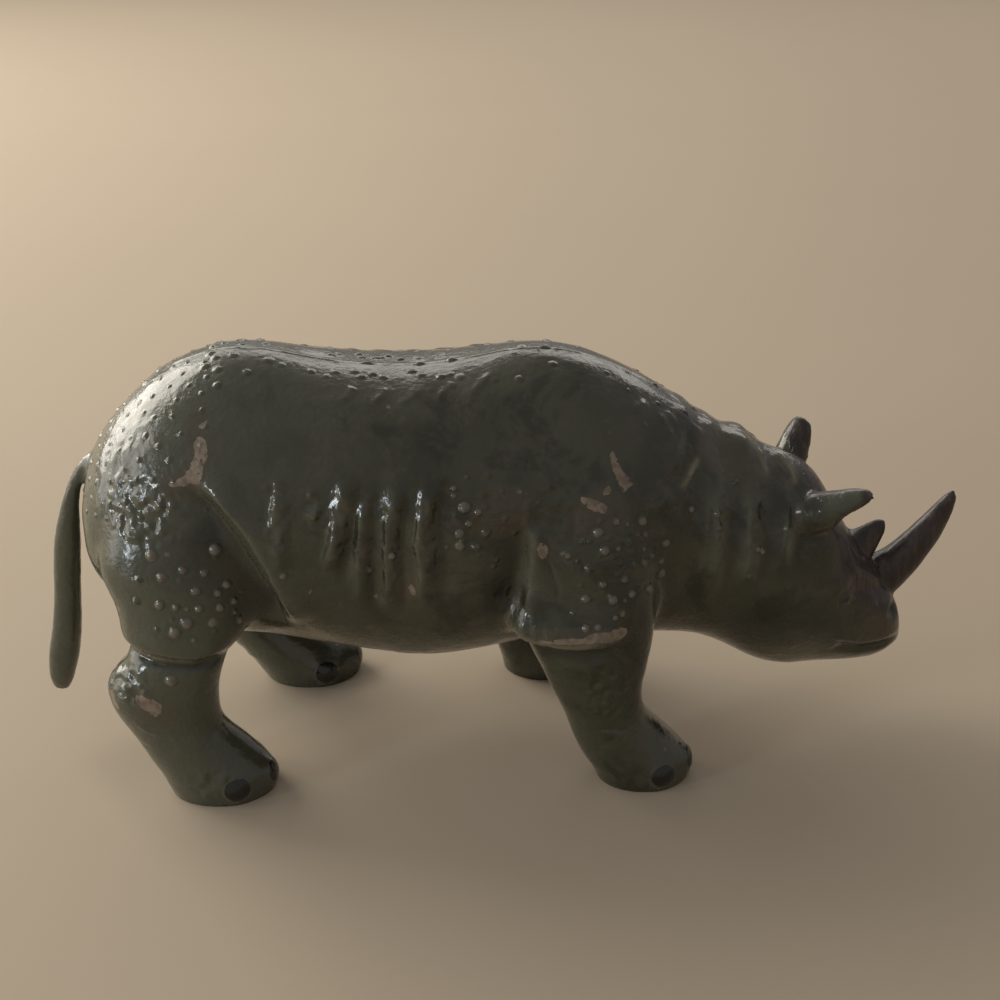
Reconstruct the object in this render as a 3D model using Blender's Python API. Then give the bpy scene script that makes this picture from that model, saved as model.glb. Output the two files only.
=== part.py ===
"""A moulded toy rhinoceros in mid-stride, made as one solid that stands on four flat soles.

The figure faces +X, its near side is towards -Y and its soles lie on z = 0.  Every station below
is given in grid units of about a millimetre, and the finished skin is brought to LENGTH, WIDTH and
HEIGHT at the end.
"""

import math

import bmesh
import bpy
import numpy as np
from mathutils import Matrix, Vector

# Driving dimensions, in metres
LENGTH = 0.132          # tip of the tail to the tip of the front horn
WIDTH = 0.0436          # across the elbows
HEIGHT = 0.0606         # from the soles to the top of the rump

# Proportions, in grid units
TRUNK_WIDTH = 1.0       # scales every half width of the trunk, neck and head
LEG_SPREAD = 14.6       # from the middle plane to the middle of a foot
FRONT_HORN = 18.8       # length of the large horn along its curve
REAR_HORN = 8.2         # length of the small horn along its curve
HORN_TAPER = 0.54       # 1 is a straight cone, less is a blunter horn
TAIL_THICKNESS = 1.95   # half of the strap's width

# How finely the form is worked, in grid units
RING_POINTS = 40        # points round each ring of a lofted piece
RINGS_PER_STATION = 4
BODY_VOXEL = 0.62
DETAIL_VOXEL = 0.42
BODY_SMOOTHING_ROUNDS = 14     # melt the legs into the trunk
DETAIL_SMOOTHING_ROUNDS = 2    # over the small parts
TRIANGLE_BUDGET = 9300  # faces left on the solid

# Trunk, neck and head: along, height of the back, height of the belly, half width, how high the
# widest part sits between belly and back (0 to 1), and how square the back is (2 is an ellipse)
TRUNK = (
    (-56.8, 40.5, 31.8, 4.0, 0.50, 2.0),
    (-56.0, 44.8, 28.6, 8.2, 0.50, 2.0),
    (-53.6, 49.4, 26.0, 11.8, 0.50, 2.0),
    (-49.6, 54.0, 23.8, 14.8, 0.48, 2.0),
    (-44.5, 58.3, 21.4, 16.8, 0.46, 2.0),
    (-38.0, 60.9, 19.8, 17.8, 0.45, 2.0),
    (-32.0, 61.2, 19.0, 17.8, 0.46, 2.05),
    (-25.0, 59.8, 17.6, 18.0, 0.44, 2.3),
    (-18.0, 58.6, 16.2, 18.4, 0.43, 2.6),
    (-10.0, 58.3, 15.2, 18.7, 0.42, 2.6),
    (-3.0, 59.3, 15.6, 18.3, 0.43, 2.3),
    (4.0, 60.5, 16.8, 17.6, 0.45, 2.0),
    (10.0, 60.1, 17.4, 17.2, 0.46, 2.0),
    (16.0, 58.1, 17.2, 16.4, 0.46, 2.0),
    (22.0, 54.9, 16.8, 14.8, 0.47, 2.0),
    (28.0, 50.8, 16.2, 13.2, 0.48, 2.0),
    (33.0, 48.0, 14.2, 12.0, 0.48, 2.0),
    (38.0, 45.3, 11.1, 11.2, 0.50, 2.1),
    (42.6, 43.3, 9.5, 10.4, 0.50, 2.1),
    (46.4, 40.2, 9.7, 9.6, 0.50, 2.1),
    (49.4, 35.2, 9.8, 8.7, 0.48, 2.1),
    (52.4, 29.8, 9.8, 7.7, 0.47, 2.2),
    (55.8, 25.4, 10.1, 6.8, 0.48, 2.3),
    (58.3, 22.2, 11.1, 6.0, 0.50, 2.4),
    (59.9, 19.6, 12.4, 4.6, 0.50, 2.4),
    (60.8, 14.8, 12.2, 2.8, 0.50, 2.2),
)

# Legs, from inside the trunk down to below the floor: height, along, half length, out from the
# foot's middle, half width
NEAR_HIND_LEG = (
    (42.0, -42.5, 9.5, -4.2, 6.6),
    (35.5, -43.0, 10.6, -2.6, 7.0),
    (30.5, -42.5, 9.6, -1.8, 6.8),
    (26.4, -42.6, 8.5, -0.8, 6.0),
    (22.6, -43.8, 6.8, 0.0, 4.9),
    (18.5, -46.2, 7.8, 0.0, 5.0),
    (14.4, -46.3, 7.3, 0.0, 5.0),
    (10.4, -44.9, 6.6, 0.0, 4.9),
    (6.5, -42.2, 7.5, 0.0, 5.3),
    (3.2, -40.1, 8.0, 0.0, 5.7),
    (0.0, -39.4, 7.5, 0.0, 5.5),
    (-1.6, -39.2, 6.8, 0.0, 5.0),
)
NEAR_FRONT_LEG = (
    (46.0, 10.6, 8.0, -4.5, 6.2),
    (38.0, 11.6, 9.6, -2.8, 6.8),
    (32.0, 11.8, 10.2, -1.2, 6.7),
    (27.0, 11.2, 10.6, 0.2, 6.0),
    (23.0, 12.6, 8.9, 0.2, 5.2),
    (19.0, 13.4, 7.6, 0.0, 4.9),
    (15.0, 13.9, 6.5, 0.0, 4.7),
    (11.0, 15.1, 5.8, 0.0, 4.7),
    (7.5, 17.3, 6.9, 0.0, 5.0),
    (4.2, 19.4, 7.6, 0.0, 5.5),
    (1.5, 20.8, 7.2, 0.0, 5.7),
    (0.0, 20.9, 6.8, 0.0, 5.4),
    (-1.6, 20.9, 6.2, 0.0, 4.8),
)
# How far the far foot steps past the near one, and the height where the legs leave the same place
FAR_HIND_STEP = 11.1
FAR_FRONT_STEP = -11.9
STEP_HEIGHT = 30.0

# Tail: along, height, share of the full thickness
TAIL = (
    (-54.0, 45.0, 0.90),
    (-56.2, 44.2, 0.66),
    (-58.2, 41.6, 0.50),
    (-59.4, 38.0, 0.66),
    (-60.3, 33.5, 0.92),
    (-61.1, 28.0, 1.00),
    (-61.7, 22.5, 1.00),
    (-62.5, 17.5, 1.08),
    (-63.5, 13.0, 1.10),
    (-64.2, 9.6, 0.92),
    (-64.5, 7.6, 0.55),
)
TAIL_SIDE_SHARE = 0.86  # the strap's other half width, as a share

# Folds as seen from the side: how far each reaches to the left and to the right of its run,
# its height (below zero for a groove), and the run itself
FOLDS = (
    (3.4, 0.7, -1.6, ((-28.6, 25.0), (-30.2, 31.0), (-32.4, 36.5), (-34.6, 41.5), (-37.4, 45.6), (-40.8, 49.6))),
    (0.6, 3.0, 1.1, ((-26.8, 26.0), (-28.2, 31.0), (-30.4, 37.0), (-32.6, 42.0), (-35.4, 45.8), (-38.8, 49.8))),
    (0.8, 1.4, 0.45, ((-28.6, 36.0), (-29.2, 42.0), (-28.8, 49.5))),
    (0.8, 1.5, 0.75, ((-23.0, 35.6), (-21.4, 42.5), (-19.8, 50.0))),
    (0.9, 0.6, -0.45, ((-20.8, 33.0), (-19.6, 40.0), (-17.4, 49.0))),
    (0.6, 2.0, 0.5, ((-18.8, 30.5), (-18.4, 39.0), (-17.6, 48.0))),
    (0.9, 0.6, -0.45, ((-16.5, 30.0), (-16.5, 39.0), (-15.6, 49.5))),
    (0.6, 2.2, 0.65, ((-14.9, 29.5), (-14.7, 40.0), (-13.4, 50.5))),
    (0.9, 0.6, -0.5, ((-12.5, 29.5), (-12.7, 40.0), (-11.4, 50.5))),
    (0.6, 2.4, 0.65, ((-10.2, 29.5), (-10.6, 40.5), (-9.3, 50.8))),
    (1.3, 1.3, -0.6, ((-7.2, 31.0), (-7.6, 41.0), (-6.5, 50.5))),
    (2.8, 0.8, -0.9, ((0.6, 28.5), (2.2, 33.0), (2.9, 38.0), (2.8, 43.5))),
    (0.8, 2.8, 0.7, ((3.8, 29.0), (4.3, 33.5), (4.8, 38.0), (4.8, 43.0))),
    (1.6, 1.6, -0.4, ((26.8, 26.0), (26.8, 38.0), (27.2, 46.5))),
    (1.5, 1.5, 0.5, ((29.6, 25.5), (29.7, 38.0), (29.6, 47.5))),
    (1.6, 1.6, -0.4, ((31.8, 25.0), (32.4, 37.0), (32.4, 43.0), (30.4, 50.0), (29.4, 55.0))),
    (1.5, 1.5, 0.5, ((34.2, 26.5), (35.0, 38.0), (34.9, 45.5))),
    (1.6, 1.6, -0.4, ((36.8, 26.0), (38.0, 37.0), (37.6, 42.5), (34.6, 48.0), (33.2, 53.0))),
    (1.1, 1.1, 0.5, ((39.4, 29.5), (40.2, 36.5), (40.1, 42.0))),
    (1.6, 1.6, -0.35, ((42.4, 29.0), (42.4, 36.0), (40.2, 43.0), (38.2, 49.0))),
    (1.0, 1.0, -0.5, ((22.4, 43.6), (25.2, 46.8), (27.0, 50.6))),
    (1.0, 1.0, -0.9, ((-52.6, 24.6), (-46.2, 23.8), (-40.4, 22.8), (-36.0, 23.4))),
    (3.0, 0.9, 0.5, ((-52.6, 26.6), (-46.2, 25.6), (-40.4, 24.6), (-36.0, 25.2))),
    (3.2, 0.6, 1.4, ((0.4, 28.0), (4.0, 26.6), (9.0, 25.8), (17.0, 26.0))),
    (1.2, 1.8, -1.1, ((1.6, 25.2), (5.0, 24.2), (10.0, 23.6), (16.4, 23.8))),
    (0.5, 2.4, 0.6, ((58.6, 23.6), (55.4, 24.9), (53.0, 26.1), (51.2, 27.6), (50.2, 30.4), (49.3, 33.8))),
    (0.8, 0.8, -0.6, ((60.8, 15.4), (57.2, 14.8), (53.0, 14.6), (48.8, 15.8))),
)
# Round swellings and dents on both sides: along, height, radius, how far it stands out
SWELLINGS = (
    (35.6, 48.0, 2.4, 2.4),
    (31.0, 50.6, 2.0, 1.5),
    (27.0, 52.6, 1.7, 1.0),
    (50.2, 24.4, 2.0, -0.4),
    (50.3, 24.2, 1.0, 0.6),
    (49.4, 26.4, 1.8, 0.3),
    (43.4, 20.5, 6.0, 0.7),
    (58.4, 20.0, 1.0, -0.5),
    (57.2, 21.2, 1.5, 0.3),
)
GREATEST_LIFT = 1.8
SOLE_MARGIN = 0.8       # height over the floor under which no carving reaches
TOE_TURNS = (70.0, 6.0, -70.0)   # degrees of each toe from ahead
TOE_RADIUS = 2.9
# Ears: share of the way from root to tip, half width, depth behind, depth ahead, how far the
# cup is scooped out
EAR_PROFILE = (
    (0.00, 3.3, 3.1, 2.6, 0.0),
    (0.22, 3.1, 3.0, 2.7, 0.0),
    (0.40, 2.8, 2.7, 2.7, 0.6),
    (0.54, 2.6, 2.5, 2.7, 2.9),
    (0.70, 2.4, 2.4, 2.2, 3.2),
    (0.84, 2.1, 2.1, 1.1, 2.3),
    (0.94, 1.7, 1.8, 0.0, 1.0),
    (1.00, 1.1, 1.4, -0.6, 0.1),
)
EAR_ROOT = 2.6          # how far an ear starts inside the head
EARS = (                # side, base, the run from base to tip, length, and size of its rings
    (-1, (45.6, -7.5, 37.9), (5.2, -2.6, 2.7), 7.5, 1.02),
    (1, (43.9, 7.2, 39.0), (2.2, 2.1, 4.9), 6.6, 0.92),
)


def blended(stations, rings_per_station):
    """Stations with smooth in-between ones, each value run through a Catmull-Rom curve."""
    rows = np.array(stations, dtype=float)
    padded = np.vstack([2 * rows[0] - rows[1], rows, 2 * rows[-1] - rows[-2]])
    out = []
    for i in range(len(rows) - 1):
        a, b, c, d = padded[i:i + 4]
        for step in range(rings_per_station):
            t = step / rings_per_station
            out.append(0.5 * (2 * b + (c - a) * t + (2 * a - 5 * b + 4 * c - d) * t ** 2
                              + (3 * b - a - 3 * c + d) * t ** 3))
    out.append(rows[-1])
    return out


def loft(bm, rings):
    """A closed skin through rings given as centre, half axis, other half axis up and down, how
    square the upper half is, and how far that half is scooped out."""
    loops = []
    for centre, side, up, down, square, *scoop in rings:
        made = bmesh.ops.create_circle(bm, segments=RING_POINTS, radius=1.0)
        for vert in made["verts"]:
            across, rise = vert.co.x, vert.co.y
            if rise > 0:
                across = math.copysign(abs(across) ** (2 / square), across)
                rise = rise ** (2 / square)
            vert.co = centre + side * across + (up if rise > 0 else down) * rise
            if scoop and rise > 0:
                vert.co -= scoop[0] * rise ** 4
        loops.append(list({edge for vert in made["verts"] for edge in vert.link_edges}))
    for one, other in zip(loops, loops[1:]):
        bmesh.ops.bridge_loops(bm, edges=one + other)
    ends = [edge for edge in loops[0] + loops[-1] if edge.is_boundary]
    bmesh.ops.holes_fill(bm, edges=ends, sides=0)


def trunk(bm):
    rings = []
    for along, top, bottom, half, wide, square in blended(TRUNK, RINGS_PER_STATION):
        level = bottom + (top - bottom) * wide
        rings.append((Vector((along, 0, level)), Vector((0, half * TRUNK_WIDTH, 0)),
                      Vector((0, 0, top - level)), Vector((0, 0, level - bottom)), square))
    loft(bm, rings)


def leg(bm, stations, side, step):
    rings = []
    for height, along, half_length, inset, half_width in blended(stations, RINGS_PER_STATION):
        share = min(max((STEP_HEIGHT - height) / STEP_HEIGHT, 0.0), 1.0)
        shifted = along + step * share ** 0.75
        centre = Vector((shifted, side * (LEG_SPREAD + inset), height))
        width = Vector((0, half_width, 0))
        rings.append((centre, Vector((half_length, 0, 0)), width, width, 2.3))
    loft(bm, rings)
    sole = min(stations, key=lambda station: abs(station[0]))
    for turn in TOE_TURNS:
        ahead, out = math.cos(math.radians(turn)), math.sin(math.radians(turn))
        toe = Vector((sole[1] + step + ahead * (sole[2] - TOE_RADIUS * 0.75),
                      side * (LEG_SPREAD + out * (sole[4] - TOE_RADIUS * 0.7)), TOE_RADIUS * 0.75))
        bmesh.ops.create_icosphere(bm, subdivisions=3, radius=TOE_RADIUS,
                                   matrix=Matrix.Translation(toe))


def tail(bm):
    places = blended(TAIL, RINGS_PER_STATION)
    rings = []
    for i, (along, height, share) in enumerate(places):
        before, after = places[max(i - 1, 0)], places[min(i + 1, len(places) - 1)]
        run = Vector((after[0] - before[0], 0, after[1] - before[1])).normalized()
        across = Vector((-run.z, 0, run.x)) * TAIL_THICKNESS * share
        side = Vector((0, TAIL_THICKNESS * TAIL_SIDE_SHARE * share, 0))
        rings.append((Vector((along, 0, height)), across, side, side, 2.0))
    loft(bm, rings)


def horn(bm, base, lean, length, radius, curl, flat=0.8):
    """A horn from its base centre, leaning LEAN degrees forward of upright and curling up."""
    rings = []
    steps = 14
    angle = math.radians(90 - lean)
    place = Vector((base[0], 0, base[1]))
    for i in range(steps + 1):
        share = i / steps
        turn = angle + math.radians(curl) * share
        run = Vector((math.cos(turn), 0, math.sin(turn)))
        size = radius * (1 - share) ** HORN_TAPER + 0.25
        across = Vector((-run.z, 0, run.x)) * size
        side = Vector((0, size * flat, 0))
        rings.append((place.copy(), across, side, side, 2.0))
        place += run * (length / steps)
    loft(bm, rings)


def ear(bm, side, base, run, length, size):
    """A short tube cut slantwise: its back runs on to a point, its open face looks ahead."""
    run = Vector(run).normalized()
    cup = Vector((0.55, side * 0.60, -0.62))
    cup = (cup - run * cup.dot(run)).normalized()
    across = run.cross(cup)
    start = Vector(base) - run * EAR_ROOT
    rings = []
    for share, wide, behind, ahead, scoop in blended(EAR_PROFILE, 3):
        centre = start + run * (length + EAR_ROOT) * share
        rings.append((centre, across * wide * size, cup * ahead * size, cup * behind * size, 2.0,
                      cup * scoop * size))
    loft(bm, rings)


def solid_of(bm, voxel, rounds):
    """The fused, smoothed skin of everything in BM, as a new bmesh."""
    bmesh.ops.recalc_face_normals(bm, faces=bm.faces)
    mesh = bpy.data.meshes.new("form")
    bm.to_mesh(mesh)
    bm.free()
    obj = bpy.data.objects.new("form", mesh)
    bpy.context.scene.collection.objects.link(obj)
    fuse = obj.modifiers.new("fuse", "REMESH")
    fuse.mode = "VOXEL"
    fuse.voxel_size = voxel
    if rounds:
        soften = obj.modifiers.new("soften", "SMOOTH")
        soften.factor = 0.5
        soften.iterations = round(rounds)
    fused = bmesh.new()
    fused.from_object(obj, bpy.context.evaluated_depsgraph_get())
    bpy.data.objects.remove(obj)
    bpy.data.meshes.remove(mesh)
    return fused


def places_of(bm):
    bm.normal_update()
    return (np.array([vert.co[:] for vert in bm.verts]),
            np.array([vert.normal[:] for vert in bm.verts]))


def distances_to_run(points, run):
    """How far each point of an (n, 2) array is from a run of straight stretches, below zero to
    its right, and how near it is to the run's ends: 0 at an end, 1 from a fifth of it on."""
    best = np.full(len(points), 1e9)
    signed = np.zeros(len(points))
    along = np.zeros(len(points))
    stretches = [(np.array(a), np.array(b) - np.array(a)) for a, b in zip(run, run[1:])]
    total = sum(np.linalg.norm(step) for _, step in stretches)
    passed = 0.0
    for start, step in stretches:
        length = np.linalg.norm(step)
        from_start = points - start
        t = np.clip(from_start @ step / length ** 2, 0.0, 1.0)
        off = from_start - t[:, None] * step
        far = np.linalg.norm(off, axis=1)
        turn = step[0] * from_start[:, 1] - step[1] * from_start[:, 0]
        nearer = far < best
        best = np.where(nearer, far, best)
        signed = np.where(nearer, np.copysign(far, turn), signed)
        along = np.where(nearer, (passed + t * length) / total, along)
        passed += length
    ends = np.clip(np.minimum(along, 1 - along) / 0.2, 0.0, 1.0)
    return signed, ends * ends * (3 - 2 * ends)


def carve(bm, folds, swellings):
    """Raises ridges and sinks grooves along the normals of both sides of the figure."""
    points, normals = places_of(bm)
    seen = points[:, [0, 2]]
    lift = np.zeros(len(points))
    facing = np.clip(np.abs(normals[:, 1]) * 2.2 + 0.3, 0.0, 1.0)
    for left, right, height, run in folds:
        off, ends = distances_to_run(seen, run)
        reach = np.where(off > 0, left, right)
        lift += height * np.exp(-(off / reach) ** 2) * ends * facing
    for along, height, radius, out in swellings:
        off = np.hypot(seen[:, 0] - along, seen[:, 1] - height)
        lift += out * np.exp(-(off / radius) ** 2 * 1.5) * facing
    lift *= np.clip((points[:, 2] - SOLE_MARGIN) / 2.0, 0.0, 1.0)
    lift[points[:, 0] < -58.5] = 0.0
    moved = points + normals * np.clip(lift, -GREATEST_LIFT, GREATEST_LIFT)[:, None]
    for vert, place in zip(bm.verts, moved):
        vert.co = place


def flatten_soles(bm):
    """Cuts the feet off level with the floor and closes each cut with a flat face."""
    everything = bm.verts[:] + bm.edges[:] + bm.faces[:]
    bmesh.ops.bisect_plane(bm, geom=everything, dist=1e-6, plane_co=(0, 0, 0),
                           plane_no=(0, 0, 1), clear_inner=True)
    rims = [edge for edge in bm.edges if edge.is_boundary]
    bmesh.ops.holes_fill(bm, edges=rims, sides=0)
    bmesh.ops.recalc_face_normals(bm, faces=bm.faces)


def finish_size(bm):
    """Brings the box to its three sizes and its middle, at floor level, to the origin."""
    points, _ = places_of(bm)
    low, high = points.min(axis=0), points.max(axis=0)
    scale = Matrix.Diagonal((*(np.array((LENGTH, WIDTH, HEIGHT)) / (high - low)), 1.0))
    middle = Vector(((low[0] + high[0]) / 2, (low[1] + high[1]) / 2, low[2]))
    bmesh.ops.transform(bm, verts=bm.verts, matrix=scale @ Matrix.Translation(-middle))


def paint(name, colour, roughness):
    material = bpy.data.materials.new(name)
    material.use_nodes = True
    shader = material.node_tree.nodes["Principled BSDF"]
    shader.inputs["Base Color"].default_value = (*colour, 1.0)
    shader.inputs["Roughness"].default_value = roughness
    shader.inputs["Metallic"].default_value = 0.0
    return material


def thinned(bm, share):
    """The same skin with fewer faces, most of them kept where it bends."""
    mesh = bpy.data.meshes.new("dense")
    bm.to_mesh(mesh)
    bm.free()
    obj = bpy.data.objects.new("dense", mesh)
    bpy.context.scene.collection.objects.link(obj)
    fewer = obj.modifiers.new("fewer", "DECIMATE")
    fewer.ratio = share
    thin = bmesh.new()
    thin.from_object(obj, bpy.context.evaluated_depsgraph_get())
    bpy.data.objects.remove(obj)
    bpy.data.meshes.remove(mesh)
    return thin


def main():
    for obj in list(bpy.data.objects):
        bpy.data.objects.remove(obj)

    body = bmesh.new()
    trunk(body)
    for side, hind_step, front_step in ((-1, 0.0, 0.0), (1, FAR_HIND_STEP, FAR_FRONT_STEP)):
        leg(body, NEAR_HIND_LEG, side, hind_step)
        leg(body, NEAR_FRONT_LEG, side, front_step)
    figure = solid_of(body, BODY_VOXEL, BODY_SMOOTHING_ROUNDS)

    tail(figure)
    horn(figure, (56.3, 21.8), 47.0, FRONT_HORN, 3.2, 27.0)
    horn(figure, (51.4, 26.6), 54.0, REAR_HORN, 2.8, 24.0)
    for one in EARS:
        ear(figure, *one)
    figure = solid_of(figure, DETAIL_VOXEL, DETAIL_SMOOTHING_ROUNDS)

    carve(figure, FOLDS, SWELLINGS)
    share = TRIANGLE_BUDGET / (2.0 * len(figure.faces))
    figure = thinned(figure, share)
    flatten_soles(figure)
    finish_size(figure)

    mesh = bpy.data.meshes.new("rhinoceros")
    bmesh.ops.triangulate(figure, faces=[face for face in figure.faces if len(face.verts) == 4])
    figure.to_mesh(mesh)
    figure.free()
    mesh.polygons.foreach_set("use_smooth", [True] * len(mesh.polygons))
    mesh.materials.append(paint("olive_paint", (0.045, 0.050, 0.032), 0.30))
    bpy.context.scene.collection.objects.link(bpy.data.objects.new("rhinoceros", mesh))


main()
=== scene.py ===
"""The painted skin of a moulded toy rhinoceros in mid-stride, with its camera, floor and light.

The figure is worked in grid units of about a millimetre, from the same stations as its solid, and
is brought to the solid's box at the end.  It faces +X and its near side is towards -Y.
"""
import itertools
import math

import bmesh
import bpy
import numpy as np
from bpy.props import FloatProperty, FloatVectorProperty, IntProperty, PointerProperty
from mathutils import Matrix, Vector


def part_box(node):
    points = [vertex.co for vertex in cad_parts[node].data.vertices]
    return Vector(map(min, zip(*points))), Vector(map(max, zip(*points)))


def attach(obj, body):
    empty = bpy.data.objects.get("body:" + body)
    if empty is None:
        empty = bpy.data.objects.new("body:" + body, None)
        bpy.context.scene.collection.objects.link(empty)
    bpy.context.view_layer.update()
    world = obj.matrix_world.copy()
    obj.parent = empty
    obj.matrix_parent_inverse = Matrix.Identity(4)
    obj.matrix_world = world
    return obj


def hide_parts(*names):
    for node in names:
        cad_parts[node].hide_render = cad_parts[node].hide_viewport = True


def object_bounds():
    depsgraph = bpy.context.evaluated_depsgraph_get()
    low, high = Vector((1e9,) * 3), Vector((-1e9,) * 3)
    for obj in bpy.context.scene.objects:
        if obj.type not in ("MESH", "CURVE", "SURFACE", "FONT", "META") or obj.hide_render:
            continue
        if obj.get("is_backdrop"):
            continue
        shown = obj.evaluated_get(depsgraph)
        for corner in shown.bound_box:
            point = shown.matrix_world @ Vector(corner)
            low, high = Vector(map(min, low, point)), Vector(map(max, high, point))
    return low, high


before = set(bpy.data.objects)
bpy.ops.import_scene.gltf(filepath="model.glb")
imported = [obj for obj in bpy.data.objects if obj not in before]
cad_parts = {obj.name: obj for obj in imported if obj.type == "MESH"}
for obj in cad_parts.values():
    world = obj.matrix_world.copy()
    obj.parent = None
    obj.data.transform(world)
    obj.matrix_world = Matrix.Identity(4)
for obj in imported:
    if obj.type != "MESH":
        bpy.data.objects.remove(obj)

bl_info = {
    "name": "Toy Rhinoceros",
    "version": (1, 0, 0),
    "blender": (4, 5, 0),
    "location": "3D View > Sidebar > Figurine",
    "description": "Models and paints a small moulded rhinoceros and sets its stage",
    "category": "Object",
}

NODE = "rhinoceros"
BODY = "root"
CAD_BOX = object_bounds()
SIDES = (-1, 1)          # near and far

# The form, in grid units: the solid's own proportions
LEG_SPREAD = 14.6
FRONT_HORN_LENGTH = 18.8
REAR_HORN_LENGTH = 8.2
HORN_TAPER = 0.54
HORN_TIP_RADIUS = 0.25
HORN_SIDE_SHARE = 0.8    # of a horn's width fore and aft
HORN_STEPS = 14
TAIL_THICKNESS = 1.95
TAIL_SIDE_SHARE = 0.86
RING_POINTS = 40
RINGS_PER_STATION = 4
EAR_RINGS_PER_STATION = 3
ELLIPSE = 2.0            # squareness of a ring
LEG_SQUARENESS = 2.3
BODY_VOXEL = 0.62
DETAIL_VOXEL = 0.42
BODY_SMOOTHING_ROUNDS = 14
DETAIL_SMOOTHING_ROUNDS = 2

# Trunk, neck and head: along, height of the back, height of the belly, half width, how high the
# widest part sits between belly and back (0 to 1), and how square the back is (2 is an ellipse)
TRUNK = (
    (-56.8, 40.5, 31.8, 4.0, 0.50, 2.0),
    (-56.0, 44.8, 28.6, 8.2, 0.50, 2.0),
    (-53.6, 49.4, 26.0, 11.8, 0.50, 2.0),
    (-49.6, 54.0, 23.8, 14.8, 0.48, 2.0),
    (-44.5, 58.3, 21.4, 16.8, 0.46, 2.0),
    (-38.0, 60.9, 19.8, 17.8, 0.45, 2.0),
    (-32.0, 61.2, 19.0, 17.8, 0.46, 2.05),
    (-25.0, 59.8, 17.6, 18.0, 0.44, 2.3),
    (-18.0, 58.6, 16.2, 18.4, 0.43, 2.6),
    (-10.0, 58.3, 15.2, 18.7, 0.42, 2.6),
    (-3.0, 59.3, 15.6, 18.3, 0.43, 2.3),
    (4.0, 60.5, 16.8, 17.6, 0.45, 2.0),
    (10.0, 60.1, 17.4, 17.2, 0.46, 2.0),
    (16.0, 58.1, 17.2, 16.4, 0.46, 2.0),
    (22.0, 54.9, 16.8, 14.8, 0.47, 2.0),
    (28.0, 50.8, 16.2, 13.2, 0.48, 2.0),
    (33.0, 48.0, 14.2, 12.0, 0.48, 2.0),
    (38.0, 45.3, 11.1, 11.2, 0.50, 2.1),
    (42.6, 43.3, 9.5, 10.4, 0.50, 2.1),
    (46.4, 40.2, 9.7, 9.6, 0.50, 2.1),
    (49.4, 35.2, 9.8, 8.7, 0.48, 2.1),
    (52.4, 29.8, 9.8, 7.7, 0.47, 2.2),
    (55.8, 25.4, 10.1, 6.8, 0.48, 2.3),
    (58.3, 22.2, 11.1, 6.0, 0.50, 2.4),
    (59.9, 19.6, 12.4, 4.6, 0.50, 2.4),
    (60.8, 14.8, 12.2, 2.8, 0.50, 2.2),
)

# Legs, from inside the trunk down to below the floor: height, along, half length, out from the
# foot's middle, half width
HIND_LEG = (
    (42.0, -42.5, 9.5, -4.2, 6.6),
    (35.5, -43.0, 10.6, -2.6, 7.0),
    (30.5, -42.5, 9.6, -1.8, 6.8),
    (26.4, -42.6, 8.5, -0.8, 6.0),
    (22.6, -43.8, 6.8, 0.0, 4.9),
    (18.5, -46.2, 7.8, 0.0, 5.0),
    (14.4, -46.3, 7.3, 0.0, 5.0),
    (10.4, -44.9, 6.6, 0.0, 4.9),
    (6.5, -42.2, 7.5, 0.0, 5.3),
    (3.2, -40.1, 8.0, 0.0, 5.7),
    (0.0, -39.4, 7.5, 0.0, 5.5),
    (-1.6, -39.2, 6.8, 0.0, 5.0),
)
FRONT_LEG = (
    (46.0, 10.6, 8.0, -4.5, 6.2),
    (38.0, 11.6, 9.6, -2.8, 6.8),
    (32.0, 11.8, 10.2, -1.2, 6.7),
    (27.0, 11.2, 10.6, 0.2, 6.0),
    (23.0, 12.6, 8.9, 0.2, 5.2),
    (19.0, 13.4, 7.6, 0.0, 4.9),
    (15.0, 13.9, 6.5, 0.0, 4.7),
    (11.0, 15.1, 5.8, 0.0, 4.7),
    (7.5, 17.3, 6.9, 0.0, 5.0),
    (4.2, 19.4, 7.6, 0.0, 5.5),
    (1.5, 20.8, 7.2, 0.0, 5.7),
    (0.0, 20.9, 6.8, 0.0, 5.4),
    (-1.6, 20.9, 6.2, 0.0, 4.8),
)
# Each leg: its stations, its side and how far its foot has stepped
LEGS = ((HIND_LEG, -1, 0.0), (FRONT_LEG, -1, 0.0), (HIND_LEG, 1, 11.1), (FRONT_LEG, 1, -11.9))
STEP_HEIGHT = 30.0       # a step bends a leg from here down
STEP_CURVE = 0.75
TOE_TURNS = (70.0, 6.0, -70.0)   # degrees of each toe from ahead
TOE_RADIUS = 2.9
# How far a toe's middle lies inside the foot's front and side and over the floor, and how far a
# nail lies out from it, as shares of the toe's radius
TOE_SET_BACK = 0.75
TOE_SET_IN = 0.7
TOE_RISE = 0.75
NAIL_OUT = 0.93
NAIL_RISE = 0.5          # of a nail over the toe's middle
NAIL_REACH = 2.2         # through the toe

# Tail: along, height, share of the full thickness
TAIL = (
    (-54.0, 45.0, 0.90),
    (-56.2, 44.2, 0.66),
    (-58.2, 41.6, 0.50),
    (-59.4, 38.0, 0.66),
    (-60.3, 33.5, 0.92),
    (-61.1, 28.0, 1.00),
    (-61.7, 22.5, 1.00),
    (-62.5, 17.5, 1.08),
    (-63.5, 13.0, 1.10),
    (-64.2, 9.6, 0.92),
    (-64.5, 7.6, 0.55),
)

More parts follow.
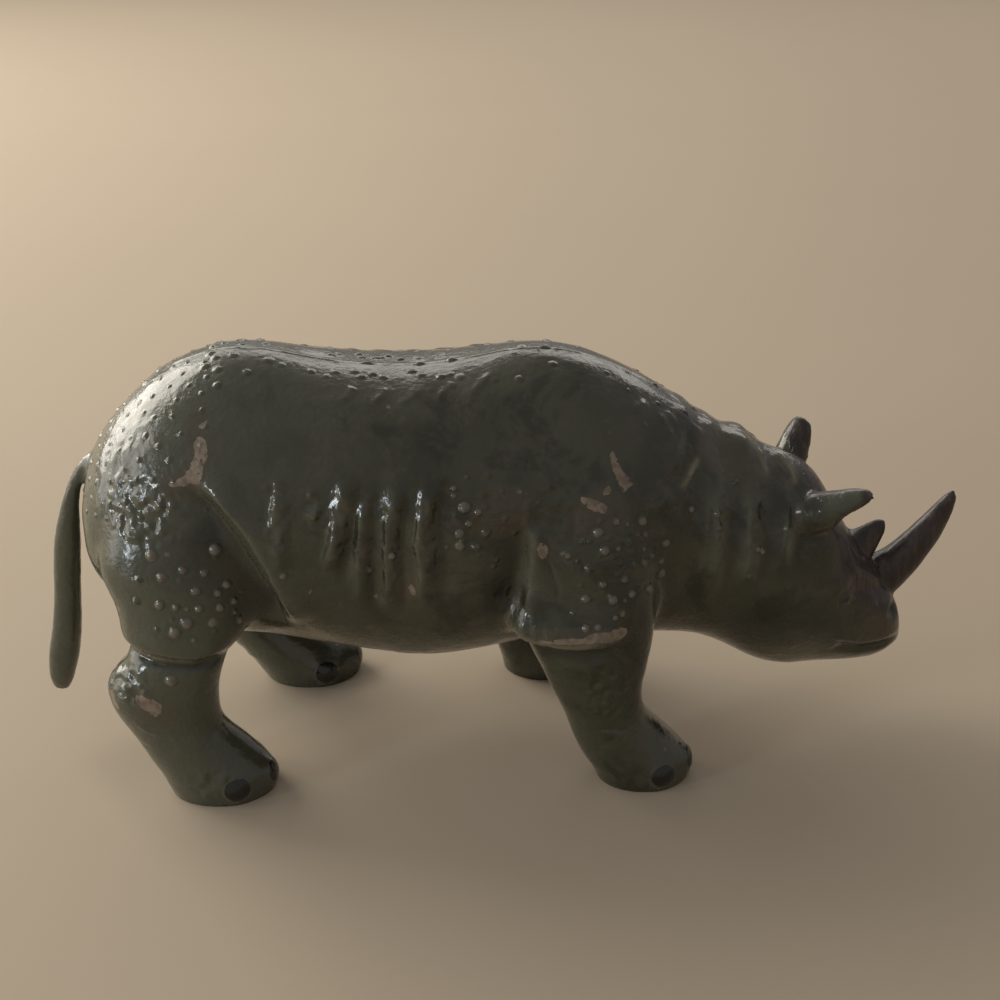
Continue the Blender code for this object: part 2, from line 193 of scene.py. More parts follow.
# Ears: share of the way from root to tip, half width, depth behind, depth ahead, how far the
# cup is scooped out
EAR_PROFILE = (
    (0.00, 3.3, 3.1, 2.6, 0.0),
    (0.22, 3.1, 3.0, 2.7, 0.0),
    (0.40, 2.8, 2.7, 2.7, 0.6),
    (0.54, 2.6, 2.5, 2.7, 2.9),
    (0.70, 2.4, 2.4, 2.2, 3.2),
    (0.84, 2.1, 2.1, 1.1, 2.3),
    (0.94, 1.7, 1.8, 0.0, 1.0),
    (1.00, 1.1, 1.4, -0.6, 0.1),
)
EAR_ROOT = 2.6           # how deep an ear starts in the head
EAR_REACH = 3.4          # how far from its middle the skin is still an ear's
CUP_WAY = (0.55, 0.60, -0.62)    # the way the open faces look: ahead, out and up
EARS = (                # side, base, the run from base to tip, length, and size of its rings
    (-1, (45.6, -7.5, 37.9), (5.2, -2.6, 2.7), 7.5, 1.02),
    (1, (43.9, 7.2, 39.0), (2.2, 2.1, 4.9), 6.6, 0.92),
)
# Horns: base in the middle plane, lean from upright, length, radius, curl
HORNS = (
    ((56.3, 21.8), 47.0, FRONT_HORN_LENGTH, 3.2, 27.0),
    ((51.4, 26.6), 54.0, REAR_HORN_LENGTH, 2.8, 24.0),
)

# Folds as seen from the side: how far each reaches to the left and to the right of its run,
# its height (below zero for a groove), and the run itself
FOLDS = (
    (3.4, 0.7, -1.6,
     ((-28.6, 25.0), (-30.2, 31.0), (-32.4, 36.5), (-34.6, 41.5), (-37.4, 45.6), (-40.8, 49.6))),
    (0.6, 3.0, 1.1,
     ((-26.8, 26.0), (-28.2, 31.0), (-30.4, 37.0), (-32.6, 42.0), (-35.4, 45.8), (-38.8, 49.8))),
    (0.8, 1.4, 0.45, ((-28.6, 36.0), (-29.2, 42.0), (-28.8, 49.5))),
    (0.8, 1.5, 0.75, ((-23.0, 35.6), (-21.4, 42.5), (-19.8, 50.0))),
    (0.9, 0.6, -0.45, ((-20.8, 33.0), (-19.6, 40.0), (-17.4, 49.0))),
    (0.6, 2.0, 0.5, ((-18.8, 30.5), (-18.4, 39.0), (-17.6, 48.0))),
    (0.9, 0.6, -0.45, ((-16.5, 30.0), (-16.5, 39.0), (-15.6, 49.5))),
    (0.6, 2.2, 0.65, ((-14.9, 29.5), (-14.7, 40.0), (-13.4, 50.5))),
    (0.9, 0.6, -0.5, ((-12.5, 29.5), (-12.7, 40.0), (-11.4, 50.5))),
    (0.6, 2.4, 0.65, ((-10.2, 29.5), (-10.6, 40.5), (-9.3, 50.8))),
    (1.3, 1.3, -0.6, ((-7.2, 31.0), (-7.6, 41.0), (-6.5, 50.5))),
    (2.8, 0.8, -0.9, ((0.6, 28.5), (2.2, 33.0), (2.9, 38.0), (2.8, 43.5))),
    (0.8, 2.8, 0.7, ((3.8, 29.0), (4.3, 33.5), (4.8, 38.0), (4.8, 43.0))),
    (1.6, 1.6, -0.4, ((26.8, 26.0), (26.8, 38.0), (27.2, 46.5))),
    (1.5, 1.5, 0.5, ((29.6, 25.5), (29.7, 38.0), (29.6, 47.5))),
    (1.6, 1.6, -0.4, ((31.8, 25.0), (32.4, 37.0), (32.4, 43.0), (30.4, 50.0), (29.4, 55.0))),
    (1.5, 1.5, 0.5, ((34.2, 26.5), (35.0, 38.0), (34.9, 45.5))),
    (1.6, 1.6, -0.4, ((36.8, 26.0), (38.0, 37.0), (37.6, 42.5), (34.6, 48.0), (33.2, 53.0))),
    (1.1, 1.1, 0.5, ((39.4, 29.5), (40.2, 36.5), (40.1, 42.0))),
    (1.6, 1.6, -0.35, ((42.4, 29.0), (42.4, 36.0), (40.2, 43.0), (38.2, 49.0))),
    (1.0, 1.0, -0.5, ((22.4, 43.6), (25.2, 46.8), (27.0, 50.6))),
    (1.0, 1.0, -0.9, ((-52.6, 24.6), (-46.2, 23.8), (-40.4, 22.8), (-36.0, 23.4))),
    (3.0, 0.9, 0.5, ((-52.6, 26.6), (-46.2, 25.6), (-40.4, 24.6), (-36.0, 25.2))),
    (3.2, 0.6, 1.4, ((0.4, 28.0), (4.0, 26.6), (9.0, 25.8), (17.0, 26.0))),
    (1.2, 1.8, -1.1, ((1.6, 25.2), (5.0, 24.2), (10.0, 23.6), (16.4, 23.8))),
    (0.5, 2.4, 0.6,
     ((58.6, 23.6), (55.4, 24.9), (53.0, 26.1), (51.2, 27.6), (50.2, 30.4), (49.3, 33.8))),
    (0.8, 0.8, -0.6, ((60.8, 15.4), (57.2, 14.8), (53.0, 14.6), (48.8, 15.8))),
)
# Round swellings and dents on both sides: along, height, radius, how far it stands out
SWELLINGS = (
    (35.6, 48.0, 2.4, 2.4),
    (31.0, 50.6, 2.0, 1.5),
    (27.0, 52.6, 1.7, 1.0),
    (50.2, 24.4, 2.0, -0.4),
    (50.3, 24.2, 1.0, 0.6),
    (49.4, 26.4, 1.8, 0.3),
    (43.4, 20.5, 6.0, 0.7),
    (58.4, 20.0, 1.0, -0.5),
    (57.2, 21.2, 1.5, 0.3),
)
SWELLING_STEEPNESS = 1.5
FOLD_REACH = 3.2         # half widths beyond which a fold is nothing
GREATEST_LIFT = 1.8
SOLE_MARGIN = 0.8
SOLE_BLEND = 2.0
FOOT_TOP = 8.0           # no painted bounce light below it
TAIL_START = -58.5       # no folds behind it
# How fast folds fade where the skin turns away from the side view, and what is left of them there
FOLD_FACING = (2.2, 0.3)
CREASE_FACING = (3.0, 0.0)

MOUTH = ((59.6, 15.4), (57.0, 14.9), (53.9, 14.8), (50.3, 16.3), (47.9, 17.5))
LIP_WIDTH = 0.32

# Sharper lines over the folds, in the same terms
CREASES = (
    (0.35, 1.2, 0.34, ((-28.9, 38.6), (-29.3, 42.0), (-29.0, 45.4), (-28.6, 49.0))),
    (0.35, 1.3, 0.34, ((-22.9, 37.8), (-22.0, 41.2), (-21.2, 44.2), (-20.2, 48.0))),
    (0.40, 0.9, 0.14, ((-19.1, 31.8), (-18.8, 36.4), (-18.3, 41.4), (-17.9, 46.4))),
    (0.35, 1.3, 0.24, ((-15.0, 32.6), (-14.7, 36.0), (-14.9, 39.2), (-14.3, 43.6), (-13.6, 48.4))),
    (0.35, 1.3, 0.24, ((-10.6, 32.6), (-10.3, 36.6), (-10.9, 40.2), (-10.2, 44.6), (-9.4, 48.6))),
    (0.6, 0.40, -0.12, ((-16.6, 33.0), (-16.7, 37.0), (-16.5, 42.6), (-15.6, 47.6))),
    (0.6, 0.40, -0.12, ((-12.6, 35.0), (-12.8, 40.0), (-12.0, 45.0))),
    (0.6, 0.40, -0.20, ((-7.6, 39.6), (-7.9, 44.0), (-7.2, 49.0))),
    (1.3, 1.3, 0.30, ((32.3, 38.5), (32.4, 43.0), (31.2, 47.0))),
    (1.3, 1.3, 0.30, ((37.8, 38.0), (37.6, 42.5), (36.0, 46.0))),
    (1.3, 1.3, 0.30, ((42.4, 34.0), (41.9, 39.0), (40.2, 43.0))),
    (0.22, 0.4, 0.20, ((28.0, 29.8), (28.3, 35.4), (28.6, 40.2), (28.1, 43.2))),
    (0.3, 0.22, 0.20, ((29.7, 29.6), (29.9, 33.4), (30.2, 38.0), (29.8, 42.8))),
    (0.3, 0.3, 0.22, ((33.9, 29.0), (34.9, 33.8), (34.5, 37.2), (34.9, 41.6))),
    (0.3, 0.3, 0.20, ((39.4, 32.4), (39.9, 35.8), (40.5, 38.4))),
    (0.25, 0.4, 0.26, ((23.4, 43.6), (24.8, 44.6), (26.2, 45.4), (27.6, 46.8))),
    (0.5, 0.3, -0.16,
     ((-28.4, 25.4), (-30.2, 31.0), (-32.4, 36.5), (-34.6, 41.5), (-37.4, 45.6), (-41.0, 49.0))),
    (0.3, 0.3, -0.25, ((-51.0, 24.2), (-46.4, 23.4), (-40.6, 22.4), (-37.0, 22.8))),
    (0.25, 0.25, -0.18, ((6.2, 28.0), (7.8, 33.6), (6.0, 39.0))),
    (0.3, 0.3, 0.16, ((-0.4, 28.2), (1.2, 30.4), (1.4, 33.6))),
    (0.7, 0.35, -0.45, ((1.8, 25.8), (4.8, 24.9), (9.0, 24.4), (16.6, 24.5))),
    (0.35, 0.7, 0.30, ((1.2, 27.2), (4.4, 25.9), (9.0, 25.3), (16.4, 25.4))),
    (0.7, 0.5, 0.34, ((-24.3, 43.6), (-23.9, 45.4), (-23.6, 47.4))),
    (0.3, 0.3, -0.22, MOUTH),
    (0.3, 0.3, -0.16, ((53.2, 15.8), (53.6, 17.8), (52.0, 19.6))),
    (0.25, 0.25, -0.16, ((48.6, 23.8), (50.0, 23.3), (51.6, 23.8))),
    (0.3, 0.3, 0.16, ((48.4, 25.4), (50.0, 25.9), (51.6, 25.2))),
    (0.3, 0.3, 0.12, ((44.3, 39.3), (46.2, 39.9), (48.0, 39.7))),
    (0.3, 0.3, 0.26, ((36.2, 47.3), (37.1, 45.3), (38.0, 42.9))),
    (0.3, 0.3, 0.26, ((40.1, 45.2), (41.4, 43.2), (42.2, 41.1))),
    (0.35, 0.35, -0.2, ((-49.6, 8.6), (-47.6, 10.6), (-44.6, 11.2))),
    (0.35, 0.35, 0.16, ((-49.8, 14.0), (-47.4, 12.4), (-44.6, 12.6))),
    (0.35, 0.35, -0.2, ((12.2, 10.4), (15.4, 10.8), (18.4, 10.2))),
    (0.35, 0.35, -0.18, ((13.4, 7.6), (16.6, 8.0), (20.6, 8.6))),
    (0.35, 0.35, 0.18, ((11.6, 16.6), (14.6, 16.2), (17.8, 15.4))),
)
# Slanting strokes either side of the spine, seen from above: along and out from the spine
STROKES = (
    ((-20.4, 9.4), (-18.6, 6.4)),
    ((-16.4, 9.4), (-14.1, 6.4)),
    ((-12.9, 9.8), (-9.9, 6.0)),
    ((-7.9, 9.2), (-5.3, 6.2)),
    ((-4.0, 9.4), (-1.4, 6.4), (0.8, 4.2)),
    ((18.4, 7.6), (20.6, 5.2)),
    ((22.6, 7.2), (24.8, 4.6)),
    ((26.4, 6.6), (27.6, 3.8)),
)
STROKE_WIDTH = 0.62
STROKE_HEIGHT = 0.26

# Measured warts: along and height on the sides, along and out from the spine on the back
THIGH_WARTS = (
    (-45.6, 39.7), (-47.6, 36.5), (-44.2, 37.1), (-41.1, 37.8), (-36.7, 39.9), (-38.2, 37.0),
    (-48.3, 33.3), (-45.3, 32.9), (-42.5, 32.9), (-39.4, 34.8), (-36.7, 34.0), (-39.2, 32.2),
    (-36.5, 31.7), (-34.8, 31.8), (-40.9, 30.4), (-37.5, 29.9), (-34.4, 28.3), (-43.4, 29.2),
    (-35.5, 34.6), (-44.0, 21.4),
)
SHOULDER_WARTS = (
    (15.9, 42.3), (13.4, 41.4), (10.7, 40.5), (17.4, 39.5), (20.2, 39.4), (19.6, 41.4),
    (14.2, 39.0), (11.8, 36.9), (16.4, 37.0), (19.9, 36.0), (21.0, 36.5), (17.0, 34.8),
    (13.8, 34.7), (18.1, 32.5), (15.4, 32.3), (11.1, 32.8), (16.9, 30.0), (11.1, 29.1),
    (20.7, 32.3), (8.9, 38.6), (23.2, 37.5), (22.7, 33.2),
)
FLANK_WARTS = (
    (-13.7, 39.4), (-16.5, 37.0), (-5.3, 40.3), (-4.4, 45.6), (-2.4, 44.8), (-6.3, 47.8),
    (0.1, 37.5), (-3.8, 43.4), (-5.2, 42.1), (-1.2, 41.8), (-2.6, 39.9), (-27.9, 36.1),
)
NECK_WARTS = (
    (26.8, 41.4), (30.4, 40.6), (30.7, 38.7), (36.6, 34.5), (40.4, 37.1), (33.0, 43.6),
    (35.4, 31.0),
)
BACK_WARTS = (
    (-38.3, 1.3), (-37.3, 2.8), (-34.6, 2.9), (-38.6, 4.4), (-36.7, 5.6), (-29.7, 3.8),
    (-32.5, 6.5), (-36.7, 8.1), (-23.8, 4.6), (-20.7, 3.9), (-17.9, 3.0), (-17.2, 4.6),
    (-15.7, 3.6), (-14.4, 4.4), (-11.0, 2.9), (-9.9, 4.0), (-7.5, 5.1), (-5.0, 5.7),
    (-0.3, 7.1), (3.0, 7.2), (8.0, 4.7), (-15.5, -2.8), (-12.4, -2.6), (-16.5, -0.5),
    (-10.4, -0.2), (-7.7, -1.9), (-6.1, 0.0), (3.5, -1.1), (7.6, -0.4), (-33.5, -1.7),
    (-21.4, -2.5),
)

# The groups on the sides, each with its radius and height, and the size of those on the back
SIDE_WARTS = (
    (THIGH_WARTS, 0.70, 0.50),
    (SHOULDER_WARTS, 0.64, 0.48),
    (FLANK_WARTS, 0.62, 0.42),
    (NECK_WARTS, 0.46, 0.36),
)
BACK_WART_SIZE = (0.70, 0.20)
SINGLE_WITHIN = 1.0      # warts less far out than this have no twin across the spine
FAR_SIDE_DRIFT = 0.7     # how far the far side's warts stray from the near side's
FAR_BACK_DRIFT = 0.8
# Small scattered warts: spacing, radius, height, span of paleness and the most of them
RUMP_SCATTER = (2.3, 0.42, 0.16, (0.0, 0.25), 130)
BACK_SCATTER = (6.0, 0.5, 0.14, (0.0, 0.3), 8)
NAPE_SCATTER = (3.4, 0.42, 0.18, (0.0, 0.3), 20)
# The same on the sides, after each zone's middle along and up and its reach along and up
SIDE_SCATTERS = (
    (15.5, 35.5, 8.0, 7.5, 1.9, 0.42, 0.26, (0.3, 0.9), 44),
    (-2.5, 42.5, 5.5, 7.0, 2.2, 0.42, 0.24, (0.2, 0.7), 26),
    (-41.0, 33.5, 7.5, 6.0, 2.4, 0.40, 0.22, (0.2, 0.7), 20),
)
TRIES_PER_WART = 60
NEARBY = 0.6             # how far round a place its outermost point is looked for
WART_REACH = 1.35        # radii, with the moat round a wart
MOAT_SHARE = 0.14        # of a wart's height

# Crumpled places on both sides: along, height, reach along, reach up and how crumpled
CRUMPLED = (
    (-46.4, 44.4, 7.6, 5.4, 1.0),
    (-49.0, 52.0, 5.0, 6.0, 0.4),
    (-29.0, 45.0, 2.4, 6.0, 0.9),
    (-24.0, 45.0, 1.8, 3.6, 0.8),
    (-20.8, 43.0, 1.8, 6.0, 0.7),
    (-14.2, 42.0, 1.6, 7.0, 0.6),
    (-9.4, 41.5, 1.6, 8.0, 0.7),
    (-3.0, 42.5, 5.2, 6.4, 0.7),
    (8.0, 43.0, 4.4, 5.0, 0.5),
    (5.4, 28.0, 3.4, 1.8, 0.7),
    (15.0, 17.5, 4.4, 6.5, 0.7),
    (-50.4, 19.4, 4.4, 3.6, 1.0),
    (35.0, 38.0, 2.0, 6.5, 0.4),
    (29.2, 38.0, 1.6, 6.5, 0.4),
    (-40.6, 4.2, 4.6, 3.4, 0.6),
)
CRUMPLE_DEPTH = 0.38

# Soft lumps of the casting: share of their height, size and seed
CASTING_LUMPS = ((1.0, 5.5, 1), (0.6, 2.4, 2), (0.3, 1.1, 4))
NAIL_HEIGHT = 0.06
SEAM_HEIGHT = 0.10
SEAM_WIDTH = 0.28
SEAM_ENDS = (-44, 45)
EYE = (50.3, 24.2)
EYE_HEIGHT = 0.16
EYE_RADIUS = 0.7
NOSTRIL = (58.4, 20.0)
NOSTRIL_DEPTH = 0.35
NOSTRIL_RADIUS = 0.62

# Worn paint on the near side, seen from the side: its run and its half width at each end
WORN_RUNS = (
    (((-38.5, 53.4), (-38.5, 51.6), (-39.2, 49.6)), 0.7, 1.15),
    (((-39.2, 49.8), (-40.4, 48.7), (-42.4, 48.5)), 0.75, 0.25),
    (((-38.2, 55.0), (-37.8, 55.9)), 0.35, 0.45),
    (((-48.6, 17.4), (-46.8, 16.4)), 0.95, 1.1),
    (((15.0, 50.6), (15.6, 48.8), (16.7, 46.4)), 0.35, 0.95),
    (((11.2, 45.4), (13.3, 44.0)), 0.5, 0.6),
    (((5.5, 39.4), (5.5, 38.4)), 0.6, 0.6),
    (((5.2, 26.3), (9.8, 26.9), (16.4, 27.2)), 0.3, 0.8),
    (((14.2, 46.1), (14.3, 46.0)), 0.45, 0.45),
    (((-11.8, 34.2), (-11.7, 33.4)), 0.55, 0.45),
    (((-25.6, 33.9), (-25.2, 33.8)), 0.5, 0.4),
    (((-53.2, 17.4), (-52.6, 15.8)), 0.4, 0.4),
    (((36.6, 33.9), (36.7, 33.8)), 0.4, 0.4),
)
# Edges where the paint is thin and yellowish: the run and its half width
PALE_EDGES = (
    (((0.6, 29.2), (1.4, 27.6), (3.0, 26.5), (5.4, 25.9), (9.8, 25.8), (14.6, 26.4)), 0.55),
    (((2.0, 26.0), (4.6, 22.6), (6.6, 18.6)), 0.5),
    (((-50.0, 24.4), (-45.0, 24.0), (-40.4, 23.4)), 0.4),
    (((-26.6, 27.0), (-24.0, 23.6), (-20.0, 20.6)), 0.9),
    (((36.2, 47.3), (37.1, 45.3), (38.0, 42.9)), 0.3),
    (((40.1, 45.2), (41.4, 43.2), (42.2, 41.1)), 0.3),
    (((24.4, 44.0), (26.4, 46.0), (28.0, 47.4)), 0.4),
)
# Bands of painted sheen on the bulges: the run and its half width
SHEEN_BANDS = (
    (((29.3, 31.0), (29.8, 36.0), (29.9, 40.0), (29.6, 45.0)), 1.1),
    (((34.2, 29.5), (34.8, 34.0), (35.0, 38.0), (34.5, 43.5)), 1.2),
    (((40.5, 32.0), (40.6, 35.0), (40.2, 39.0)), 0.8),
    (((-25.9, 27.0), (-27.6, 31.5), (-30.0, 37.0), (-32.6, 41.6), (-35.4, 45.4)), 0.9),
    (((3.8, 29.5), (4.0, 33.5), (4.6, 38.0), (4.8, 42.5)), 0.7),
)
# Hollows darkened with painted shade: the run and how far it reaches to its left and right
SHADED_HOLLOWS = (
    (((-30.0, 27.0), (-32.0, 32.0), (-34.4, 37.0), (-36.8, 41.6), (-39.6, 45.6)), 4.8, 0.6),
    (((-1.0, 26.5), (0.8, 31.0), (2.0, 36.0), (2.2, 42.0)), 3.4, 0.7),
    (((-52.0, 24.0), (-46.2, 23.4), (-40.4, 22.4), (-36.0, 23.0)), 0.5, 0.5),
    (((1.6, 24.2), (5.0, 23.4), (10.0, 23.2), (16.4, 23.4)), 0.7, 0.9),
)
# Where the horns' dark paint ends, seen from the side
HORN_EDGE = (
    (46.5, 36.0), (48.2, 32.4), (49.0, 29.0), (50.2, 25.6), (53.0, 22.8), (56.5, 20.4),
    (62.6, 16.0),
)
HORN_HALF_WIDTH = 8.4
FAR_WEAR_SHIFT = (1.6, -1.4)   # the far side's wear is not in the same places
FAR_WEAR_EVERY = 3             # and has one in three of them
# Places where the paint is thin and brownish: along, height, reach along and reach up
THIN_PAINT = (
    (36.0, 46.0, 5.5, 5.0),
    (30.5, 48.5, 3.5, 5.0),
    (-38.6, 52.6, 2.2, 6.0),
    (-41.5, 48.4, 4.5, 2.2),
    (13.5, 43.0, 5.5, 4.0),
    (-12.2, 34.0, 2.2, 2.6),
    (10.0, 27.5, 8.0, 1.6),
    (-47.0, 15.6, 4.5, 3.0),
    (56.0, 17.5, 5.0, 4.5),
    (0.0, 44.0, 5.0, 5.0),
)
# Numbers of the colour sockets on a Mix node
MIX_SHARE, MIX_UNDER, MIX_OVER, MIX_RESULT = 0, 6, 7, 2
DIRT_COLOUR = (0.02, 0.02, 0.016)
MOUTH_COLOUR = (0.012, 0.011, 0.009)
EYE_COLOUR = (0.010, 0.009, 0.007)

# The stage, in metres.  Lights: name, place, aim, width and height, colour and power setting
LIGHTS = (
    ("window", (-0.54, 0.40, 0.34), (0.0, 0.0, 0.05), (0.46, 0.56), (1.0, 0.94, 0.83), "key_power"),
    ("behind", (0.05, 0.80, 0.46), (0.0, 0.0, 0.04), (1.3, 0.3), (1.0, 0.95, 0.88), "rim_power"),
    ("glint", (-0.47, -0.25, 0.145), (0.0, 0.0, 0.035), (0.07, 0.10), (0.86, 0.94, 1.0),
     "glint_power"),
    ("fill", (-0.58, 0.02, 0.20), (-0.03, 0.0, 0.03), (0.36, 0.40), (1.0, 0.95, 0.88), "fill_power"),
)
SKY_COLOUR = (0.92, 0.88, 0.84, 1.0)
FLOOR_HALF_SIZE = 3.0
CAMERA_PLACE = (-0.00962, -0.19043, 0.13401)
CAMERA_TURNS = (63.0, 0.0, -3.0)   # degrees
SENSOR_WIDTH = 36.0                # millimetres
NEAREST_SEEN = 0.005


def blended(stations, rings_per_station):
    """Stations with smooth in-between ones, each value run through a Catmull-Rom curve."""
    rows = np.array(stations, dtype=float)
    padded = np.vstack([2 * rows[0] - rows[1], rows, 2 * rows[-1] - rows[-2]])
    out = []
    for i in range(len(rows) - 1):
        a, b, c, d = padded[i:i + 4]
        for step in range(rings_per_station):
            t = step / rings_per_station
            out.append(0.5 * (2 * b + (c - a) * t + (2 * a - 5 * b + 4 * c - d) * t ** 2
                              + (3 * b - a - 3 * c + d) * t ** 3))
    out.append(rows[-1])
    return out


def loft(bm, rings):
    """A closed skin through rings given as centre, half axis, other half axis up and down, how
    square the upper half is, and how far that half is scooped out."""
    loops = []
    for centre, side, up, down, square, *scoop in rings:
        made = bmesh.ops.create_circle(bm, segments=RING_POINTS, radius=1.0)
        for vert in made["verts"]:
            across, rise = vert.co.x, vert.co.y
            if rise > 0:
                across = math.copysign(abs(across) ** (2 / square), across)
                rise = rise ** (2 / square)
            vert.co = centre + side * across + (up if rise > 0 else down) * rise
            if scoop and rise > 0:
                vert.co -= scoop[0] * rise ** 4
        loops.append(list({edge for vert in made["verts"] for edge in vert.link_edges}))
    for one, other in zip(loops, loops[1:]):
        bmesh.ops.bridge_loops(bm, edges=one + other)
    ends = [edge for edge in loops[0] + loops[-1] if edge.is_boundary]
    bmesh.ops.holes_fill(bm, edges=ends, sides=0)


def trunk(bm):
    rings = []
    for along, top, bottom, half, wide, square in blended(TRUNK, RINGS_PER_STATION):
        level = bottom + (top - bottom) * wide
        rings.append((Vector((along, 0, level)), Vector((0, half, 0)),
                      Vector((0, 0, top - level)), Vector((0, 0, level - bottom)), square))
    loft(bm, rings)


def toes_of(stations, side, step):
    """Each toe's centre and the way it points, on the foot of one leg."""
    sole = min(stations, key=lambda station: abs(station[0]))
    for turn in TOE_TURNS:
        ahead, out = math.cos(math.radians(turn)), math.sin(math.radians(turn))
        along = sole[1] + step + ahead * (sole[2] - TOE_RADIUS * TOE_SET_BACK)
        across = side * (LEG_SPREAD + out * (sole[4] - TOE_RADIUS * TOE_SET_IN))
        yield Vector((along, across, TOE_RADIUS * TOE_RISE)), Vector((ahead, side * out, 0))


def leg(bm, stations, side, step):
    rings = []
    for height, along, half_length, inset, half_width in blended(stations, RINGS_PER_STATION):
        share = min(max((STEP_HEIGHT - height) / STEP_HEIGHT, 0.0), 1.0)
        centre = Vector((along + step * share ** STEP_CURVE, side * (LEG_SPREAD + inset), height))
        width = Vector((0, half_width, 0))
        rings.append((centre, Vector((half_length, 0, 0)), width, width, LEG_SQUARENESS))
    loft(bm, rings)
    for centre, _ in toes_of(stations, side, step):
        bmesh.ops.create_icosphere(bm, subdivisions=3, radius=TOE_RADIUS,
                                   matrix=Matrix.Translation(centre))


def tail(bm):
    places = blended(TAIL, RINGS_PER_STATION)
    rings = []
    for i, (along, height, share) in enumerate(places):
        before, after = places[max(i - 1, 0)], places[min(i + 1, len(places) - 1)]
        run = Vector((after[0] - before[0], 0, after[1] - before[1])).normalized()
        across = Vector((-run.z, 0, run.x)) * TAIL_THICKNESS * share
        side = Vector((0, TAIL_THICKNESS * TAIL_SIDE_SHARE * share, 0))
        rings.append((Vector((along, 0, height)), across, side, side, ELLIPSE))
    loft(bm, rings)


def horn_axis(base, lean, length, curl):
    """Places along a horn's middle, with the way it runs there and the share of its length."""
    place = Vector((base[0], 0, base[1]))
    for i in range(HORN_STEPS + 1):
        share = i / HORN_STEPS
        turn = math.radians(90 - lean + curl * share)
        run = Vector((math.cos(turn), 0, math.sin(turn)))
        yield place.copy(), run, share
        place += run * (length / HORN_STEPS)


def horn(bm, base, lean, length, radius, curl):
    rings = []
    for place, run, share in horn_axis(base, lean, length, curl):
        size = radius * (1 - share) ** HORN_TAPER + HORN_TIP_RADIUS
        across = Vector((-run.z, 0, run.x)) * size
        side = Vector((0, size * HORN_SIDE_SHARE, 0))
        rings.append((place, across, side, side, ELLIPSE))
    loft(bm, rings)


def ear_axes(side, run):
    """The way an ear points and the way its open face looks."""
    run = Vector(run).normalized()
    ahead, out, up = CUP_WAY
    cup = Vector((ahead, side * out, up))
    return run, (cup - run * cup.dot(run)).normalized()


def ear(bm, side, base, run, length, size):
    """A short tube cut slantwise: its back runs on to a point, its open face looks ahead."""
    run, cup = ear_axes(side, run)
    across = run.cross(cup)
    start = Vector(base) - run * EAR_ROOT
    rings = []
    for share, wide, behind, ahead, scoop in blended(EAR_PROFILE, EAR_RINGS_PER_STATION):
        centre = start + run * (length + EAR_ROOT) * share
        rings.append((centre, across * wide * size, cup * ahead * size, cup * behind * size,
                      ELLIPSE, cup * scoop * size))
    loft(bm, rings)


def worked(mesh, modifiers):
    """The mesh that MESH becomes under modifiers, each given as its kind and its settings."""
    obj = bpy.data.objects.new("form", mesh)
    bpy.context.scene.collection.objects.link(obj)
    for kind, settings in modifiers:
        modifier = obj.modifiers.new(kind.lower(), kind)
        for name, value in settings.items():
            setattr(modifier, name, value)
    shaped = obj.evaluated_get(bpy.context.evaluated_depsgraph_get())
    out = bpy.data.meshes.new_from_object(shaped)
    bpy.data.objects.remove(obj)
    bpy.data.meshes.remove(mesh)
    return out


def fused(bm, voxel, rounds):
    """One skin over everything in BM, softened where pieces meet."""
    bmesh.ops.recalc_face_normals(bm, faces=bm.faces)
    mesh = bpy.data.meshes.new("form")
    bm.to_mesh(mesh)
    bm.free()
    return worked(mesh, (
        ("REMESH", {"mode": "VOXEL", "voxel_size": voxel}),
        ("SMOOTH", {"factor": 0.5, "iterations": rounds}),
    ))


def plain_form():
    """The figure without its folds: the trunk on its legs first, then the tail, horns and ears."""
    bm = bmesh.new()
    trunk(bm)
    for stations, side, step in LEGS:
        leg(bm, stations, side, step)
    body = fused(bm, BODY_VOXEL, BODY_SMOOTHING_ROUNDS)

    bm = bmesh.new()
    bm.from_mesh(body)
    tail(bm)
    for one in HORNS:
        horn(bm, *one)
    for one in EARS:
        ear(bm, *one)
    return fused(bm, DETAIL_VOXEL, DETAIL_SMOOTHING_ROUNDS)


def points_of(mesh):
    points = np.empty(len(mesh.vertices) * 3, np.float32)
    mesh.vertices.foreach_get("co", points)
    return points.reshape(-1, 3).astype(float)


def normals_of(mesh):
    normals = np.empty(len(mesh.vertices) * 3, np.float32)
    mesh.vertex_normals.foreach_get("vector", normals)
    return normals.reshape(-1, 3).astype(float)


def put_points(mesh, points):
    mesh.vertices.foreach_set("co", points.astype(np.float32).ravel())
    mesh.update()


def eased(value, low, high):
    """0 below LOW, 1 above HIGH and smooth between them."""
    t = np.clip((value - low) / (high - low), 0.0, 1.0)
    return t * t * (3 - 2 * t)


def hump(off, width):
    """1 where OFF is 0, about a third at WIDTH and next to 0 from twice that on."""
    return np.exp(-(off / width) ** 2)


def from_run(points, run):
    """How far each point of an (n, 2) array is from a run of straight stretches, below zero to
    its right, and the share of the run's length at the place nearest to it."""
    best = np.full(len(points), 1e9)
    signed = np.zeros(len(points))
    along = np.zeros(len(points))
    stretches = [(np.array(a), np.array(b) - np.array(a)) for a, b in zip(run, run[1:])]
    total = sum(np.linalg.norm(step) for _, step in stretches)
    passed = 0.0
    for start, step in stretches:
        length = np.linalg.norm(step)
        from_start = points - start
        t = np.clip(from_start @ step / length ** 2, 0.0, 1.0)
        off = from_start - t[:, None] * step
        far = np.linalg.norm(off, axis=1)
        turn = step[0] * from_start[:, 1] - step[1] * from_start[:, 0]
        nearer = far < best
        best = np.where(nearer, far, best)
        signed = np.where(nearer, np.copysign(far, turn), signed)
        along = np.where(nearer, (passed + t * length) / total, along)
        passed += length
    return signed, along


def faded_ends(along):
    """0 at either end of a run, 1 from a fifth of its length on."""
    return eased(np.minimum(along, 1 - along), 0.0, 0.2)


